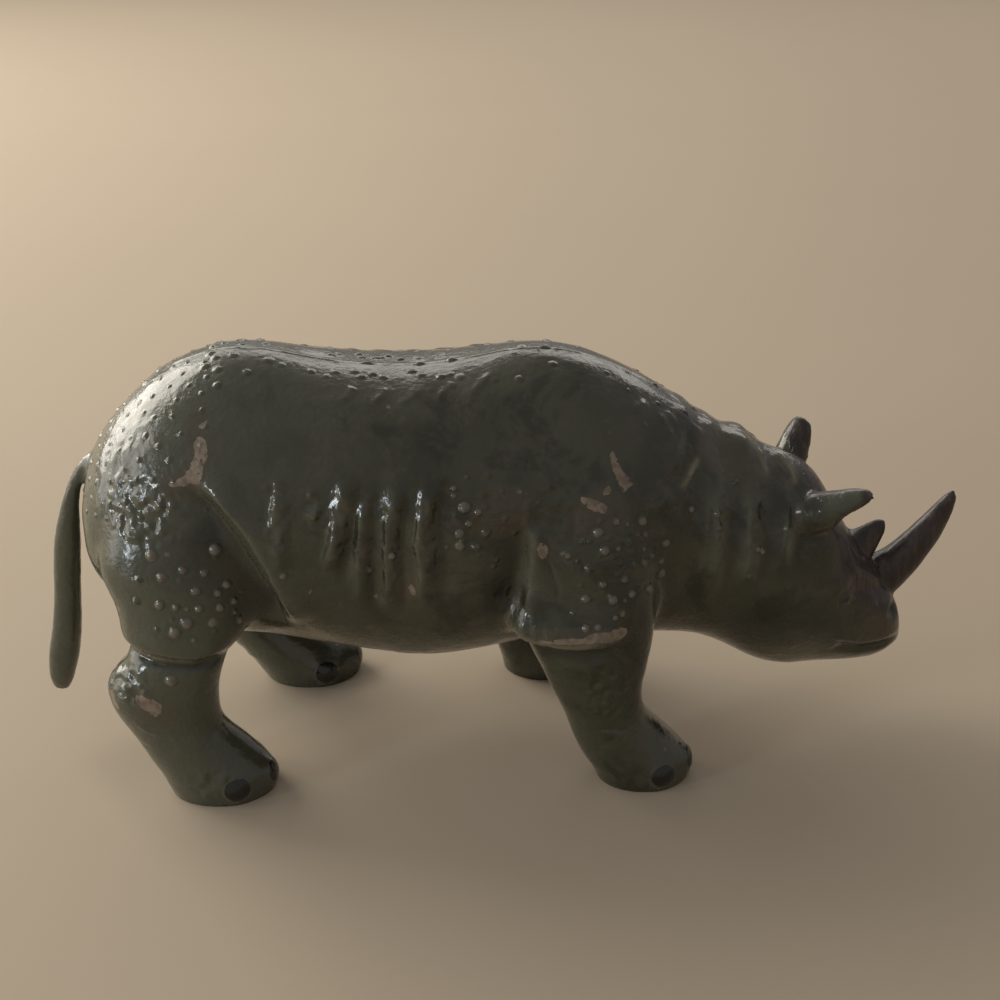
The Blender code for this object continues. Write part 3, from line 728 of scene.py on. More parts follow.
def off_place(points, along, height):
    """How far each point is from a place seen from the side."""
    return np.hypot(points[:, 0] - along, points[:, 2] - height)


def folded(points, normals, folds, facing):
    """How far folds seen from the side lift each point; FACING says how fast they fade where
    the skin turns away, and what is left of them there."""
    seen = points[:, [0, 2]]
    gain, least = facing
    lift = np.zeros(len(points))
    for left, right, height, run in folds:
        xs, zs = zip(*run)
        reach = FOLD_REACH * max(left, right)
        near = np.flatnonzero((seen[:, 0] > min(xs) - reach) & (seen[:, 0] < max(xs) + reach)
                              & (seen[:, 1] > min(zs) - reach) & (seen[:, 1] < max(zs) + reach))
        off, along = from_run(seen[near], run)
        lift[near] += height * hump(off, np.where(off > 0, left, right)) * faded_ends(along)
    return lift * np.clip(np.abs(normals[:, 1]) * gain + least, 0.0, 1.0)


def swollen(points, normals):
    """How far the round swellings and dents lift each point."""
    gain, least = FOLD_FACING
    lift = np.zeros(len(points))
    for along, height, radius, out in SWELLINGS:
        off = off_place(points, along, height)
        lift += out * np.exp(-(off / radius) ** 2 * SWELLING_STEEPNESS)
    return lift * np.clip(np.abs(normals[:, 1]) * gain + least, 0.0, 1.0)


def above_sole(points):
    """0 on the soles, 1 a little above them, so that the feet stay flat."""
    return np.clip((points[:, 2] - SOLE_MARGIN) / SOLE_BLEND, 0.0, 1.0)


def lumps(points, size, seed):
    """Soft random lumps about SIZE across, between -1 and 1."""
    cell = points / size + seed * 7.31
    corner = np.floor(cell).astype(np.int64)
    t = cell - corner
    t = t * t * (3 - 2 * t)
    total = np.zeros(len(points))
    for step in itertools.product((0, 1), repeat=3):
        at = corner + np.array(step)
        key = (at[:, 0] * 73856093) ^ (at[:, 1] * 19349663) ^ (at[:, 2] * 83492791)
        key = ((key ^ (key >> 13)) * 1274126177) & 0x7fffffff
        key = ((key ^ (key >> 15)) * 2246822519) & 0x7fffffff
        share = np.prod(np.where(np.array(step) == 1, t, 1 - t), axis=1)
        total += ((key % 4096) / 2047.5 - 1) * share
    return total


def strayed(points, size, reach, seed):
    """The points pushed about by lumps, so that what is drawn over them wavers."""
    return points + reach * np.stack([lumps(points, size, seed + axis) for axis in range(3)], axis=1)


def on_side(points, along, height, side):
    """The outermost point of one side at a place seen from the side."""
    near = np.flatnonzero(off_place(points, along, height) < NEARBY)
    return points[near[np.argmax(points[near, 1] * side)]]


def on_back(points, along, across):
    """The topmost point at a place seen from above."""
    off = np.hypot(points[:, 0] - along, points[:, 1] - across)
    near = np.flatnonzero(off < NEARBY)
    return points[near[np.argmax(points[near, 2])]]


def wart_list(points, normals, seed):
    """Every wart as its place, radius, height and paleness."""
    rng = np.random.default_rng(seed)
    warts = []

    def add(place, radius, height, pale):
        warts.append((np.array(place), radius * rng.uniform(0.85, 1.15),
                      height * rng.uniform(0.8, 1.2), pale))

    for side in SIDES:
        for group, radius, height in SIDE_WARTS:
            for along, up in group:
                shift = rng.normal(0, FAR_SIDE_DRIFT, 2) if side > 0 else (0, 0)
                place = on_side(points, along + shift[0], up + shift[1], side)
                add(place, radius * rng.uniform(0.75, 1.15), height, rng.uniform(0.7, 1.0))
    for along, across in BACK_WARTS:
        for side in SIDES:
            shift = rng.normal(0, FAR_BACK_DRIFT, 2) if side > 0 else (0, 0)
            if side > 0 and across < SINGLE_WITHIN:
                continue
            place = on_back(points, along + shift[0], side * across + shift[1])
            add(place, *BACK_WART_SIZE, rng.uniform(0.1, 0.4))

    def scatter(allowed, spacing, radius, height, pale, most):
        """Warts a SPACING apart among the allowed points."""
        chosen = []
        for index in rng.permutation(np.flatnonzero(allowed))[:most * TRIES_PER_WART]:
            place = points[index]
            if chosen and np.min(np.linalg.norm(np.array(chosen) - place, axis=1)) < spacing:
                continue
            chosen.append(place)
            add(place, radius, height, rng.uniform(*pale))
            if len(chosen) == most:
                break

    along, up = points[:, 0], points[:, 2]
    rump = (along < -37.5) & (up > 41.5) & (along > -56.6) & (np.abs(points[:, 1]) < 15.5)
    scatter(rump & ((normals[:, 2] > 0.28) | (normals[:, 0] < -0.45)), *RUMP_SCATTER)
    scatter((along > -36) & (along < 14) & (normals[:, 2] > 0.93), *BACK_SCATTER)
    scatter((along > 14) & (along < 31) & (normals[:, 2] > 0.62), *NAPE_SCATTER)
    sideways = np.abs(normals[:, 1]) > 0.6
    for middle_along, middle_up, reach_along, reach_up, *sizes in SIDE_SCATTERS:
        off = np.hypot((along - middle_along) / reach_along, (up - middle_up) / reach_up)
        scatter((off < 1) & sideways, *sizes)
    return warts


def domes(points, warts):
    """How far the warts lift each point, and how pale their tops are there."""
    lift = np.zeros(len(points))
    pale = np.zeros(len(points))
    order = np.argsort(points[:, 0])
    sorted_along = points[order, 0]
    for place, radius, height, paleness in warts:
        reach = radius * WART_REACH
        first, last = np.searchsorted(sorted_along, (place[0] - reach, place[0] + reach))
        near = order[first:last]
        off = np.linalg.norm(points[near] - place, axis=1) / radius
        near, off = near[off < WART_REACH], off[off < WART_REACH]
        dome = np.clip(1 - off ** 2, 0, 1) ** 0.9
        moat = MOAT_SHARE * height * hump(off - 1.12, 0.16)
        lift[near] = np.maximum(lift[near], height * dome) - moat
        pale[near] = np.maximum(pale[near], paleness * np.clip(1 - (off / 1.3) ** 2, 0, 1))
    return lift, pale


def strokes(points, normals):
    """How far the slanting strokes beside the spine lift each point."""
    lift = np.zeros(len(points))
    upward = np.clip(normals[:, 2] * 2 - 0.4, 0, 1)
    seen = np.stack([points[:, 0], np.abs(points[:, 1])], axis=1)
    for run in STROKES:
        off, along = from_run(seen, run)
        lift += STROKE_HEIGHT * hump(off, STROKE_WIDTH) * faded_ends(along)
    return lift * upward


def nails():
    """Each nail's middle and the way it faces."""
    for stations, side, step in LEGS:
        for centre, way in toes_of(stations, side, step):
            middle = centre + way * TOE_RADIUS * NAIL_OUT + Vector((0, 0, NAIL_RISE))
            yield np.array(middle), np.array(way)


def nail_fields(points, radius):
    """1 at a nail's middle, 0 at its edge and below zero beyond it, and a second field that is 1
    along the pale crescent just under the nail."""
    field = np.full(len(points), -1.0)
    crescent = np.zeros(len(points))
    for middle, way in nails():
        off = points - middle
        sideways = (off[:, 0] * -way[1] + off[:, 1] * way[0]) / radius
        upward = off[:, 2] / (radius * 0.9)
        here = 1 - np.hypot(sideways, upward)
        here = np.where(np.abs(off @ way) < NAIL_REACH, here, -1.0)
        below = np.clip(-upward * 1.4, 0, 1)
        crescent = np.maximum(crescent, hump(here + 0.10, 0.09) * below)
        field = np.maximum(field, here)
    return field, crescent


def zone(points, along, height, reach_along, reach_height):
    """1 in the middle of a round zone seen from the side, falling to 0 at its edge."""
    off = np.hypot((points[:, 0] - along) / reach_along, (points[:, 2] - height) / reach_height)
    return 1 - eased(off, 0.55, 1.0)


def fine_relief(points, normals, warts, settings):
    """The small forms over the solid's shape, as a lift along the normals."""
    wavering = strayed(points, 3.0, 0.45, 21)
    creases = folded(wavering, normals, CREASES, CREASE_FACING) * settings.crease_depth
    uneven = 0.7 + 0.8 * lumps(points, 1.7, 3)
    lift = creases * uneven + strokes(wavering, normals) * uneven
    lift += domes(strayed(points, 1.0, 0.13, 61), warts)[0] * settings.wart_height
    nail, _ = nail_fields(points, settings.nail_radius)
    lift += NAIL_HEIGHT * eased(nail, -0.05, 0.10)
    crumple = sum(share * zone(points, *place) for *place, share in CRUMPLED)
    crumpled = np.abs(lumps(points, 1.4, 11)) - 0.35 + 0.6 * lumps(points, 0.85, 5)
    lift += crumple * crumpled * CRUMPLE_DEPTH * np.clip(np.abs(normals[:, 1]) * 2, 0, 1)
    lift += settings.unevenness * sum(share * lumps(points, size, seed)
                                      for share, size, seed in CASTING_LUMPS)
    seam = hump(points[:, 1], SEAM_WIDTH) * np.clip(normals[:, 2] * 2, 0, 1)
    lift += SEAM_HEIGHT * seam * (points[:, 0] > SEAM_ENDS[0]) * (points[:, 0] < SEAM_ENDS[1])
    lift += EYE_HEIGHT * hump(off_place(points, *EYE), EYE_RADIUS)
    lift -= NOSTRIL_DEPTH * hump(off_place(points, *NOSTRIL), NOSTRIL_RADIUS)
    return lift * above_sole(points)


def horn_field(points):
    """Above zero over the horns' dark paint, in grid units from its edge."""
    off, _ = from_run(points[:, [0, 2]], HORN_EDGE)
    return np.minimum(np.clip(off, -3.0, 3.0), HORN_HALF_WIDTH - np.abs(points[:, 1]))


def ear_fields(points, normals):
    """The share of the way from an ear's base to its tip, below zero off the ears, and how far
    the skin there looks the same way as the ear's cup."""
    field = np.full(len(points), -1.0)
    cup_field = np.zeros(len(points))
    for side, base, run, length, _ in EARS:
        way, cup = (np.array(axis) for axis in ear_axes(side, run))
        off = points - np.array(base)
        share = off @ way / length
        far = np.linalg.norm(off - np.outer(off @ way, way), axis=1)
        here = (far < EAR_REACH) & (share > -0.2) & (share > field)
        field[here] = share[here]
        cup_field[here] = np.clip(normals[here] @ cup, 0, 1)
    return field, cup_field


def worn_field(points, normals):
    """1 in the middle of a worn place, 0 at its edge and below zero beyond it."""
    field = np.full(len(points), -1.5)
    wavering = strayed(strayed(points, 1.9, 0.38, 31), 0.8, 0.2, 41)
    for side in SIDES:
        facing = normals[:, 1] * side > 0.05
        shift = FAR_WEAR_SHIFT if side > 0 else (0.0, 0.0)
        for run, first, last in WORN_RUNS[::FAR_WEAR_EVERY if side > 0 else 1]:
            off, along = from_run(wavering[:, [0, 2]] - shift, run)
            width = first + (last - first) * along
            field = np.where(facing, np.maximum(field, 1 - np.abs(off) / width), field)
    return field


def line_field(points, normals, lines):
    """1 along the middle of LINES, each a run and its half width, and 0 away from them."""
    field = np.zeros(len(points))
    wavering = strayed(points, 2.4, 0.3, 51)
    for run, width in lines:
        off, along = from_run(wavering[:, [0, 2]], run)
        field = np.maximum(field, hump(off, width) * faded_ends(along))
    return field * eased(np.abs(normals[:, 1]), 0.05, 0.4)


def thin_field(points):
    """1 in the middle of the places where the paint is thin, 0 away from them."""
    return np.max([zone(points, *place) for place in THIN_PAINT], axis=0)


def painted_shade_field(points):
    """1 along the hollows that are darkened with painted shade, 0 away from them."""
    field = np.zeros(len(points))
    wavering = strayed(points, 4.0, 0.7, 71)
    for run, left, right in SHADED_HOLLOWS:
        off, along = from_run(wavering[:, [0, 2]], run)
        field = np.maximum(field, hump(off, np.where(off > 0, left, right)) * faded_ends(along))
    return field


def paint_fields(points, normals, warts, nail_radius):
    """What the paint is told about each point, by name."""
    off_mouth, along_mouth = from_run(points[:, [0, 2]], MOUTH)
    lips = hump(off_mouth, LIP_WIDTH) * faded_ends(along_mouth)
    nail, crescent = nail_fields(points, nail_radius)
    ear_share, cup = ear_fields(points, normals)
    sharp = folded(points, normals, CREASES, CREASE_FACING)
    return {
        "wart": domes(points, warts)[1],
        "worn": worn_field(points, normals),
        "ridge": sharp * 2.4 + folded(points, normals, FOLDS, FOLD_FACING) * 0.35,
        # how far the skin faces down, for the painted bounce light from the floor
        "under": np.clip(-normals[:, 2], 0, 1) * (points[:, 2] > FOOT_TOP),
        "horn": horn_field(points),
        "nail": nail,
        "crescent": crescent,
        "thin": thin_field(points),
        "hollow": painted_shade_field(points),
        # painted sheen: 1 on the hindquarters, falling to 0 towards the middle
        "faded": eased(-points[:, 0], 12.0, 44.0),
        "ear": ear_share,
        "cup": cup,
        "seam": hump(points[:, 1], 0.3) * eased(normals[:, 2], 0.3, 0.6),
        "eye": np.clip(1 - off_place(points, *EYE) / 1.5, 0, 1),
        "mouth": np.maximum(lips, 1 - eased(off_place(points, *NOSTRIL), 0.3, 0.8)),
        "rump": eased(-points[:, 0], 37.0, 41.0) * eased(points[:, 2], 41.0, 46.0),
        "edge": line_field(points, normals, PALE_EDGES),
        "band": line_field(points, normals, SHEEN_BANDS),
    }


def tell(mesh, name, values):
    """Keeps one value a point, for the paint to read."""
    layer = mesh.attributes.new(name, "FLOAT", "POINT")
    layer.data.foreach_set("value", values.astype(np.float32))


def flatten_soles(mesh):
    """Cuts the feet off level with the floor and closes each cut with a flat face."""
    bm = bmesh.new()
    bm.from_mesh(mesh)
    everything = bm.verts[:] + bm.edges[:] + bm.faces[:]
    bmesh.ops.bisect_plane(bm, geom=everything, dist=1e-6, plane_co=(0, 0, 0),
                           plane_no=(0, 0, 1), clear_inner=True)
    rims = [edge for edge in bm.edges if edge.is_boundary]
    caps = bmesh.ops.holes_fill(bm, edges=rims, sides=0)["faces"]
    bmesh.ops.triangulate(bm, faces=caps)
    bmesh.ops.recalc_face_normals(bm, faces=bm.faces)
    bm.to_mesh(mesh)
    bm.free()


class Shade:
    """A value or vector of a shader that Python's arithmetic works on."""

    def __init__(self, finish, socket):
        self.finish = finish
        self.socket = socket

    def maths(self, operation, *inputs):
        return self.finish.node("ShaderNodeMath", {"operation": operation}, inputs)

    def __add__(self, other):
        return self.maths("ADD", self, other)

    def __sub__(self, other):
        return self.maths("SUBTRACT", self, other)

    def __rsub__(self, other):
        return self.maths("SUBTRACT", other, self)

    def __mul__(self, other):
        return self.maths("MULTIPLY", self, other)

    def __neg__(self):
        return self.maths("MULTIPLY", self, -1.0)

    __radd__ = __add__
    __rmul__ = __mul__

    def eased(self, low, high):
        """0 at LOW, 1 at HIGH and smooth between them."""
        settings = {"interpolation_type": "SMOOTHSTEP"}
        inputs = {"Value": self, "From Min": low, "From Max": high}
        return self.finish.node("ShaderNodeMapRange", settings, inputs)


class Finish:
    """Builds one material's nodes."""

    def __init__(self, name):
        self.material = bpy.data.materials.new(name)
        self.material.use_nodes = True
        self.tree = self.material.node_tree
        self.shader = self.tree.nodes["Principled BSDF"]
        self.place = self.node("ShaderNodeTexCoord", {}, {}, "Object")

    def put(self, socket, value):
        if isinstance(value, Shade):
            self.tree.links.new(value.socket, socket)
        elif socket.type == "RGBA":
            socket.default_value = (*value, 1.0)
        else:
            socket.default_value = value

    def node(self, kind, settings, inputs, output=0):
        """Adds a node: its settings first, then its sockets by name or number, or in order."""
        made = self.tree.nodes.new(kind)
        for name, value in settings.items():
            setattr(made, name, value)
        pairs = inputs.items() if isinstance(inputs, dict) else enumerate(inputs)
        for name, value in pairs:
            self.put(made.inputs[name], value)
        return Shade(self, made.outputs[output])

    def told(self, *names):
        """The values that the skin keeps a point under these names."""
        return [self.node("ShaderNodeAttribute", {"attribute_name": name}, {}, "Fac")
                for name in names]

    def stretched(self, scale, turn):
        """Object coordinates turned and stretched for a pattern with a grain."""
        inputs = {"Vector": self.place, "Rotation": turn, "Scale": scale}
        return self.node("ShaderNodeMapping", {}, inputs)

    def noise(self, size, detail, rough=0.55, place=None, twist=0.0):
        """Cloudy noise with features about SIZE metres across."""
        inputs = {"Vector": place or self.place, "Scale": 1.0 / size, "Detail": detail,
                  "Roughness": rough, "Distortion": twist}
        return self.node("ShaderNodeTexNoise", {}, inputs, "Fac")

    def cells(self, size, feature="DISTANCE_TO_EDGE", place=None):
        """Distances in a pattern of cells about SIZE metres across."""
        inputs = {"Vector": place or self.place, "Scale": 1.0 / size}
        return self.node("ShaderNodeTexVoronoi", {"feature": feature}, inputs, "Distance")

    def layered(self, base, *layers):
        """BASE under further colours, each after the share of it that shows."""
        for share, colour in layers:
            inputs = {MIX_SHARE: share, MIX_UNDER: base, MIX_OVER: colour}
            base = self.node("ShaderNodeMix", {"data_type": "RGBA"}, inputs, MIX_RESULT)
        return base

    def bumped(self, height, distance, strength):
        inputs = {"Height": height, "Distance": distance, "Strength": strength}
        return self.node("ShaderNodeBump", {}, inputs, "Normal")

    def surface(self, **values):
        """Fills the shader's sockets, named with underscores for spaces."""
        for name, value in values.items():
            self.put(self.shader.inputs[name.replace("_", " ")], value)
        return self.material


def figure_paint(colours):
    """Glossy olive paint over pinkish plastic, worn off the high places, with dark horns and nails;
    painted shade darkens the hollows and grooves, and painted light brightens the hindquarters, the
    bulges and the underside.
    """
    paint = Finish("olive_paint")
    broad = paint.noise(0.016, 3.0)
    blotch = paint.noise(0.0075, 4.0, 0.62, twist=0.6)
    patchy = paint.noise(0.0042, 4.0, 0.6)
    fine = paint.noise(0.0011, 3.0, 0.6)
    ragged = paint.noise(0.0007, 4.0, 0.7)
    grain = paint.noise(0.00035, 2.0)
    wart, worn, ridge, under, seam, rump = paint.told("wart", "worn", "ridge", "under", "seam", "rump")
    faded, hollow, band, thin, edge = paint.told("faded", "hollow", "band", "thin", "edge")
    horn_edge, nail, crescent = paint.told("horn", "nail", "crescent")
    ear_share, cup, eye, mouth = paint.told("ear", "cup", "eye", "mouth")

    bare = paint.layered(colours.bare, (fine.eased(0.4, 0.62), colours.bare_dark))
    specks = 1.0 - paint.cells(0.0013, "F1").eased(0.10, 0.17)
    fleck_field = paint.cells(0.0042, "F1") + (fine - 0.5) * 0.3
    flecks = (1.0 - fleck_field.eased(0.06, 0.10)) * patchy.eased(0.52, 0.6)
    wear = worn + (ragged - 0.5) * 1.0 + (patchy - 0.5) * 0.9
    bald = wear.eased(0.02, 0.10)

    along_horn = paint.stretched((1.0, 1.0, 0.16), (0.0, math.radians(-46.0), 0.0))
    streak = paint.noise(0.0011, 3.0, 0.6, along_horn)
    horn_colour = paint.layered(
        colours.horn,
        (streak.eased(0.42, 0.66), colours.horn_light),
        ((fine * 0.5 + streak * 0.5).eased(0.58, 0.68) * 0.6, colours.horn_worn),
    )
    on_horn = (horn_edge + (patchy - 0.5) * 2.2 + (fine - 0.5) * 0.6).eased(-1.6, 1.2)
    on_nail = (nail + (fine - 0.5) * 0.16).eased(-0.02, 0.06)

    # The paint itself with its painted sheen, painted shade and painted bounce light, then what is
    # rubbed or bare, then the ears, the horns, the nails and the face
    colour = paint.layered(
        colours.paint,
        (broad.eased(0.35, 0.66), colours.paint_light),
        (patchy.eased(0.48, 0.74) * 0.6, colours.paint_grey),
        (blotch.eased(0.49, 0.62) * 0.72, colours.dark_paint_and_shade),
        ((patchy * 0.6 + fine * 0.4).eased(0.50, 0.64) * 0.55, colours.undercoat),
        # painted sheen: the hindquarters paler, where the light from the left falls
        (faded * 0.7 + (patchy - 0.5) * 0.3, colours.faded),
        # painted sheen: paler bands on the bulges
        (band * patchy.eased(0.25, 0.55) * 0.8, colours.faded),
        # painted shade: the hollows darkened
        (hollow * 0.90, colours.dark_paint_and_shade),
        ((thin * 0.5 + patchy * 0.6 + fine * 0.3).eased(0.62, 0.86) * 0.6, colours.undercoat),
        # painted bounce light: the underside yellowish, as light from the floor falls there
        (under.eased(0.1, 0.9) * 0.55, colours.belly_bounce_light),
        # painted shade: the grooves of the folds darkened
        ((-ridge).eased(0.2, 0.8) * 0.25, colours.dark_paint_and_shade),
        (edge * (fine + patchy).eased(0.6, 0.95) * 0.85, colours.thin_edge),
        ((ridge + (fine - 0.5) * 0.7).eased(0.3, 0.75) * 0.22, colours.rubbed),
        ((wart + (fine - 0.5) * 0.3).eased(0.34, 0.56) * 0.75, colours.rubbed),
        (seam.eased(0.35, 0.75) * fine.eased(0.35, 0.5) * 0.5, colours.rubbed),
        (flecks * 0.6, bare),
        (wear.eased(-0.16, 0.0) * 0.5, colours.undercoat),
        (bald * 0.95, paint.layered(bare, (specks * 0.8, DIRT_COLOUR))),
        (ear_share.eased(-0.05, 0.3) * 0.45, colours.ear),
        (cup.eased(0.1, 0.4) * ear_share.eased(0.3, 0.5) * 0.8, colours.ear_inside),
        ((ear_share + (fine - 0.5) * 0.1).eased(0.80, 0.92) * 0.9, colours.horn),
        (on_horn, horn_colour),
        (crescent * fine.eased(0.3, 0.5) * 0.6, colours.nail_rim),
        (on_nail, colours.nail),
        (mouth.eased(0.2, 0.8) * 0.75, MOUTH_COLOUR),
        (eye.eased(0.5, 0.8) * 0.6, EYE_COLOUR),
    )

    matt = paint.noise(0.0026, 3.0, 0.6, twist=0.4)
    roughness = 0.17 + matt.eased(0.35, 0.7) * 0.14 + bald * 0.24 + on_horn * 0.30
    roughness = roughness + (grain - 0.5) * 0.06

    net_place = paint.stretched((1.0, 0.72, 1.0), (0.0, 0.0, math.radians(20.0)))
    net = (1.0 - paint.cells(0.0026, place=net_place).eased(0.0, 0.20)) * rump
    peel = paint.noise(0.0008, 2.0, 0.5)
    dents = paint.noise(0.0032, 3.0, 0.5)
    height = peel * 0.35 + dents * 0.9 + grain * 0.06 - net * 0.12 - bald * 0.35
    height = height + streak * on_horn * 1.2 + on_nail * 0.2
    normal = paint.bumped(height, 0.00022, 0.75)
    return paint.surface(Base_Color=colour, Roughness=roughness, Normal=normal, Coat_Weight=0.35,
                         Coat_Roughness=0.10, Specular_IOR_Level=0.5)


def floor_paint(colour):
    """A matt floor in faint clouds of its colour."""
    paint = Finish("pale_floor")
    clouded = paint.layered(colour, (paint.noise(0.09, 2.0), [value * 0.96 for value in colour]))
    return paint.surface(Base_Color=clouded, Roughness=0.9)


def factor_setting(name, description, default, most):
    return FloatProperty(name=name, description=description, default=default, min=0.0, max=most,
                         subtype="FACTOR")


def colour_setting(name, description, default):
    return FloatVectorProperty(name=name, description=description, default=default, size=3,
                               min=0.0, max=1.0, subtype="COLOR")


def power_setting(name, description, default):
    return FloatProperty(name=name, description=description, default=default, min=0.0, unit="POWER")


class FigureSizes(bpy.types.PropertyGroup):
    wart_height: factor_setting("Wart height", "Scales how far the warts stand out", 1.0, 2.0)
    crease_depth: factor_setting("Crease depth", "Scales the sharp creases over the ribs and neck",
                                 1.0, 2.0)
    unevenness: FloatProperty(name="Unevenness", default=0.07, min=0.0, max=0.3,
                              description="Height of the casting's soft lumps, in grid units")
    nail_radius: FloatProperty(name="Nail radius", default=1.9, min=0.5, max=2.5,
                               description="Half width of a nail, in grid units")
    triangles: IntProperty(name="Triangles", default=194000, min=20000, max=199000,
                           description="Most triangles on the skin")
    seed: IntProperty(name="Seed", default=7, min=0,
                      description="Changes the places of the scattered warts")


class FigureColours(bpy.types.PropertyGroup):
    paint: colour_setting("Paint", "Dark olive paint", (0.028, 0.030, 0.016))
    paint_light: colour_setting("Light paint", "Paler clouds in the paint", (0.056, 0.057, 0.034))
    # this dark green also paints shade into the hollows and the grooves of the folds
    dark_paint_and_shade: colour_setting("Dark paint", "Green-black blotches and hollows", (0.016, 0.018, 0.010))
    paint_grey: colour_setting("Grey paint", "Grey clouds in the paint", (0.038, 0.041, 0.031))
    # painted sheen of the light from the left, on the hindquarters and on the bulges
    faded: colour_setting("Faded paint", "Paler grey-green of the hindquarters", (0.084, 0.090, 0.064))
    undercoat: colour_setting("Thin paint", "Brown that shows where the paint is thin",
                              (0.074, 0.060, 0.040))
    thin_edge: colour_setting("Thin edges", "Yellowish edges with little paint", (0.190, 0.170, 0.110))
    # painted bounce light from the floor, on the underside
    belly_bounce_light: colour_setting("Belly", "Yellowish paint on the underside", (0.095, 0.084, 0.048))
    rubbed: colour_setting("Rubbed", "Paint rubbed on the ridges", (0.170, 0.150, 0.115))
    bare: colour_setting("Bare plastic", "Pinkish plastic under the paint", (0.250, 0.200, 0.150))
    bare_dark: colour_setting("Dirty plastic", "Bare plastic with dirt", (0.160, 0.122, 0.088))
    ear: colour_setting("Ears", "Greyish green on the backs of the ears", (0.078, 0.084, 0.056))
    ear_inside: colour_setting("Inside of the ears", "Olive brown in the cups", (0.046, 0.038, 0.018))
    horn: colour_setting("Horn", "Dark maroon of the horns", (0.022, 0.012, 0.010))
    horn_light: colour_setting("Horn streaks", "Lighter streaks in the horns", (0.052, 0.034, 0.029))
    horn_worn: colour_setting("Worn horn", "Rubbed streaks on the horns", (0.135, 0.096, 0.076))
    nail: colour_setting("Nails", "Near-black of the nails", (0.009, 0.009, 0.008))
    nail_rim: colour_setting("Nail rim", "Greyish crescent under the nails", (0.120, 0.115, 0.095))


class StageSettings(bpy.types.PropertyGroup):
    floor: colour_setting("Floor", "Colour of the floor", (0.49, 0.405, 0.305))
    lens: FloatProperty(name="Lens", default=54.54, min=20.0, max=200.0, unit="CAMERA",
                        description="Focal length of the camera")
    key_power: power_setting("Window light", "Power of the light from the upper left, behind", 4.4)
    rim_power: power_setting("Light behind", "Power of the wide dim light behind the figure", 2.0)
    glint_power: power_setting("Glint light", "Power of the small light on the left that glints", 0.5)
    fill_power: power_setting("Fill light", "Power of the soft light from the left", 1.1)
    sky: FloatProperty(name="Surroundings", default=0.33, min=0.0,
                       description="Strength of the light from all round")


class FIGURINE_OT_rhinoceros(bpy.types.Operator):
    """Models the figure's skin and paints it"""
    bl_idname = "figurine.rhinoceros"
    bl_label = "Make the rhinoceros"

    def execute(self, context):
        sizes, colours = context.scene.figure_sizes, context.scene.figure_colours
        mesh = plain_form()
        points, normals = points_of(mesh), normals_of(mesh)
        lift = folded(points, normals, FOLDS, FOLD_FACING) + swollen(points, normals)
        lift *= above_sole(points)
        lift[points[:, 0] < TAIL_START] = 0.0
        points += normals * np.clip(lift, -GREATEST_LIFT, GREATEST_LIFT)[:, None]
        put_points(mesh, points)
        low, high = points.min(axis=0), points.max(axis=0)
        low[2] = 0.0

        mesh = worked(mesh, (("SUBSURF", {"levels": 1, "render_levels": 1}),))
        points, normals = points_of(mesh), normals_of(mesh)
        warts = wart_list(points, normals, sizes.seed)
        put_points(mesh, points + normals * fine_relief(points, normals, warts, sizes)[:, None])
        share = sizes.triangles / (2.0 * len(mesh.polygons))
        mesh = worked(mesh, (("DECIMATE", {"ratio": share}),))
        flatten_soles(mesh)
        fields = paint_fields(points_of(mesh), normals_of(mesh), warts, sizes.nail_radius)
        for name, values in fields.items():
            tell(mesh, name, values)

        box_low, box_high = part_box(NODE)
        scale = Matrix.Diagonal((*(np.array(box_high - box_low) / (high - low)), 1.0))
        middle = Vector((low + high) / 2)
        middle.z = 0.0
        mesh.transform(scale @ Matrix.Translation(-middle))
        mesh.name = "rhinoceros_skin"
        mesh.shade_smooth()
        mesh.materials.append(figure_paint(colours))
        skin = bpy.data.objects.new("rhinoceros_skin", mesh)
        context.scene.collection.objects.link(skin)
        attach(skin, BODY)
        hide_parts(NODE)
        return {"FINISHED"}


def soft_light(name, place, aim, size, colour, power):
    light = bpy.data.lights.new(name, "AREA")
    light.shape = "RECTANGLE"
    light.size, light.size_y = size
    light.energy = power
    light.color = colour
    obj = bpy.data.objects.new(name, light)
    obj.location = place
    obj.rotation_euler = (Vector(aim) - Vector(place)).to_track_quat("-Z", "Y").to_euler()
    obj.visible_camera = False
    bpy.context.scene.collection.objects.link(obj)


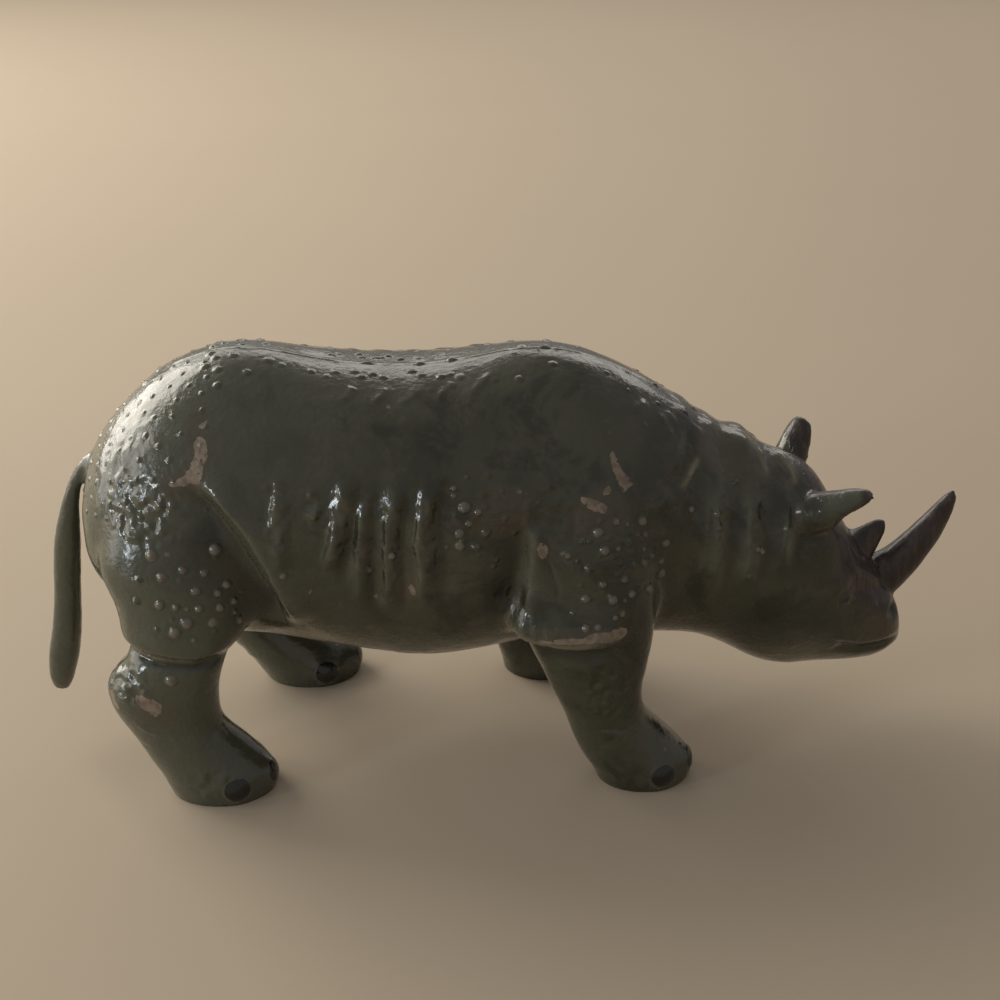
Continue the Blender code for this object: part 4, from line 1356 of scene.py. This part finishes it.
class FIGURINE_OT_stage(bpy.types.Operator):
    """Sets the floor, the light and the camera"""
    bl_idname = "figurine.stage"
    bl_label = "Set the stage"

    def execute(self, context):
        scene, stage = context.scene, context.scene.stage_settings
        bm = bmesh.new()
        bmesh.ops.create_grid(bm, x_segments=1, y_segments=1, size=FLOOR_HALF_SIZE)
        floor_mesh = bpy.data.meshes.new("floor")
        bm.to_mesh(floor_mesh)
        bm.free()
        floor = bpy.data.objects.new("floor", floor_mesh)
        floor_mesh.materials.append(floor_paint(stage.floor))
        scene.collection.objects.link(floor)
        floor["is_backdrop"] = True

        for name, place, aim, size, tint, setting in LIGHTS:
            soft_light(name, place, aim, size, tint, getattr(stage, setting))

        world = bpy.data.worlds.new("surroundings")
        world.use_nodes = True
        around = world.node_tree.nodes["Background"]
        around.inputs["Color"].default_value = SKY_COLOUR
        around.inputs["Strength"].default_value = stage.sky
        scene.world = world

        camera_data = bpy.data.cameras.new("camera")
        camera_data.lens = stage.lens
        camera_data.sensor_width = SENSOR_WIDTH
        camera_data.clip_start = NEAREST_SEEN
        camera = bpy.data.objects.new("camera", camera_data)
        camera.location = CAMERA_PLACE
        camera.rotation_euler = [math.radians(turn) for turn in CAMERA_TURNS]
        scene.collection.objects.link(camera)
        scene.camera = camera
        scene.view_settings.view_transform = "Standard"
        return {"FINISHED"}


class FIGURINE_PT_rhinoceros(bpy.types.Panel):
    """Sizes, colours and stage of the rhinoceros"""
    bl_label = "Toy Rhinoceros"
    bl_space_type = "VIEW_3D"
    bl_region_type = "UI"
    bl_category = "Figurine"

    def draw(self, context):
        for title, group, operator in (
            ("Sizes", context.scene.figure_sizes, None),
            ("Colours", context.scene.figure_colours, FIGURINE_OT_rhinoceros.bl_idname),
            ("Stage", context.scene.stage_settings, FIGURINE_OT_stage.bl_idname),
        ):
            box = self.layout.box()
            box.label(text=title)
            for name in group.__annotations__:
                box.prop(group, name)
            if operator:
                box.operator(operator)


CLASSES = (FigureSizes, FigureColours, StageSettings, FIGURINE_OT_rhinoceros, FIGURINE_OT_stage,
           FIGURINE_PT_rhinoceros)


def register():
    for cls in CLASSES:
        bpy.utils.register_class(cls)
    bpy.types.Scene.figure_sizes = PointerProperty(type=FigureSizes)
    bpy.types.Scene.figure_colours = PointerProperty(type=FigureColours)
    bpy.types.Scene.stage_settings = PointerProperty(type=StageSettings)


def unregister():
    del bpy.types.Scene.stage_settings
    del bpy.types.Scene.figure_colours
    del bpy.types.Scene.figure_sizes
    for cls in reversed(CLASSES):
        bpy.utils.unregister_class(cls)


def main():
    register()
    bpy.ops.figurine.stage()
    bpy.ops.figurine.rhinoceros()
    boxes = {"cad": CAD_BOX, "visual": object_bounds()}
    {name: [list(corner) for corner in box] for name, box in boxes.items()}


if __name__ == "__main__":
    main()
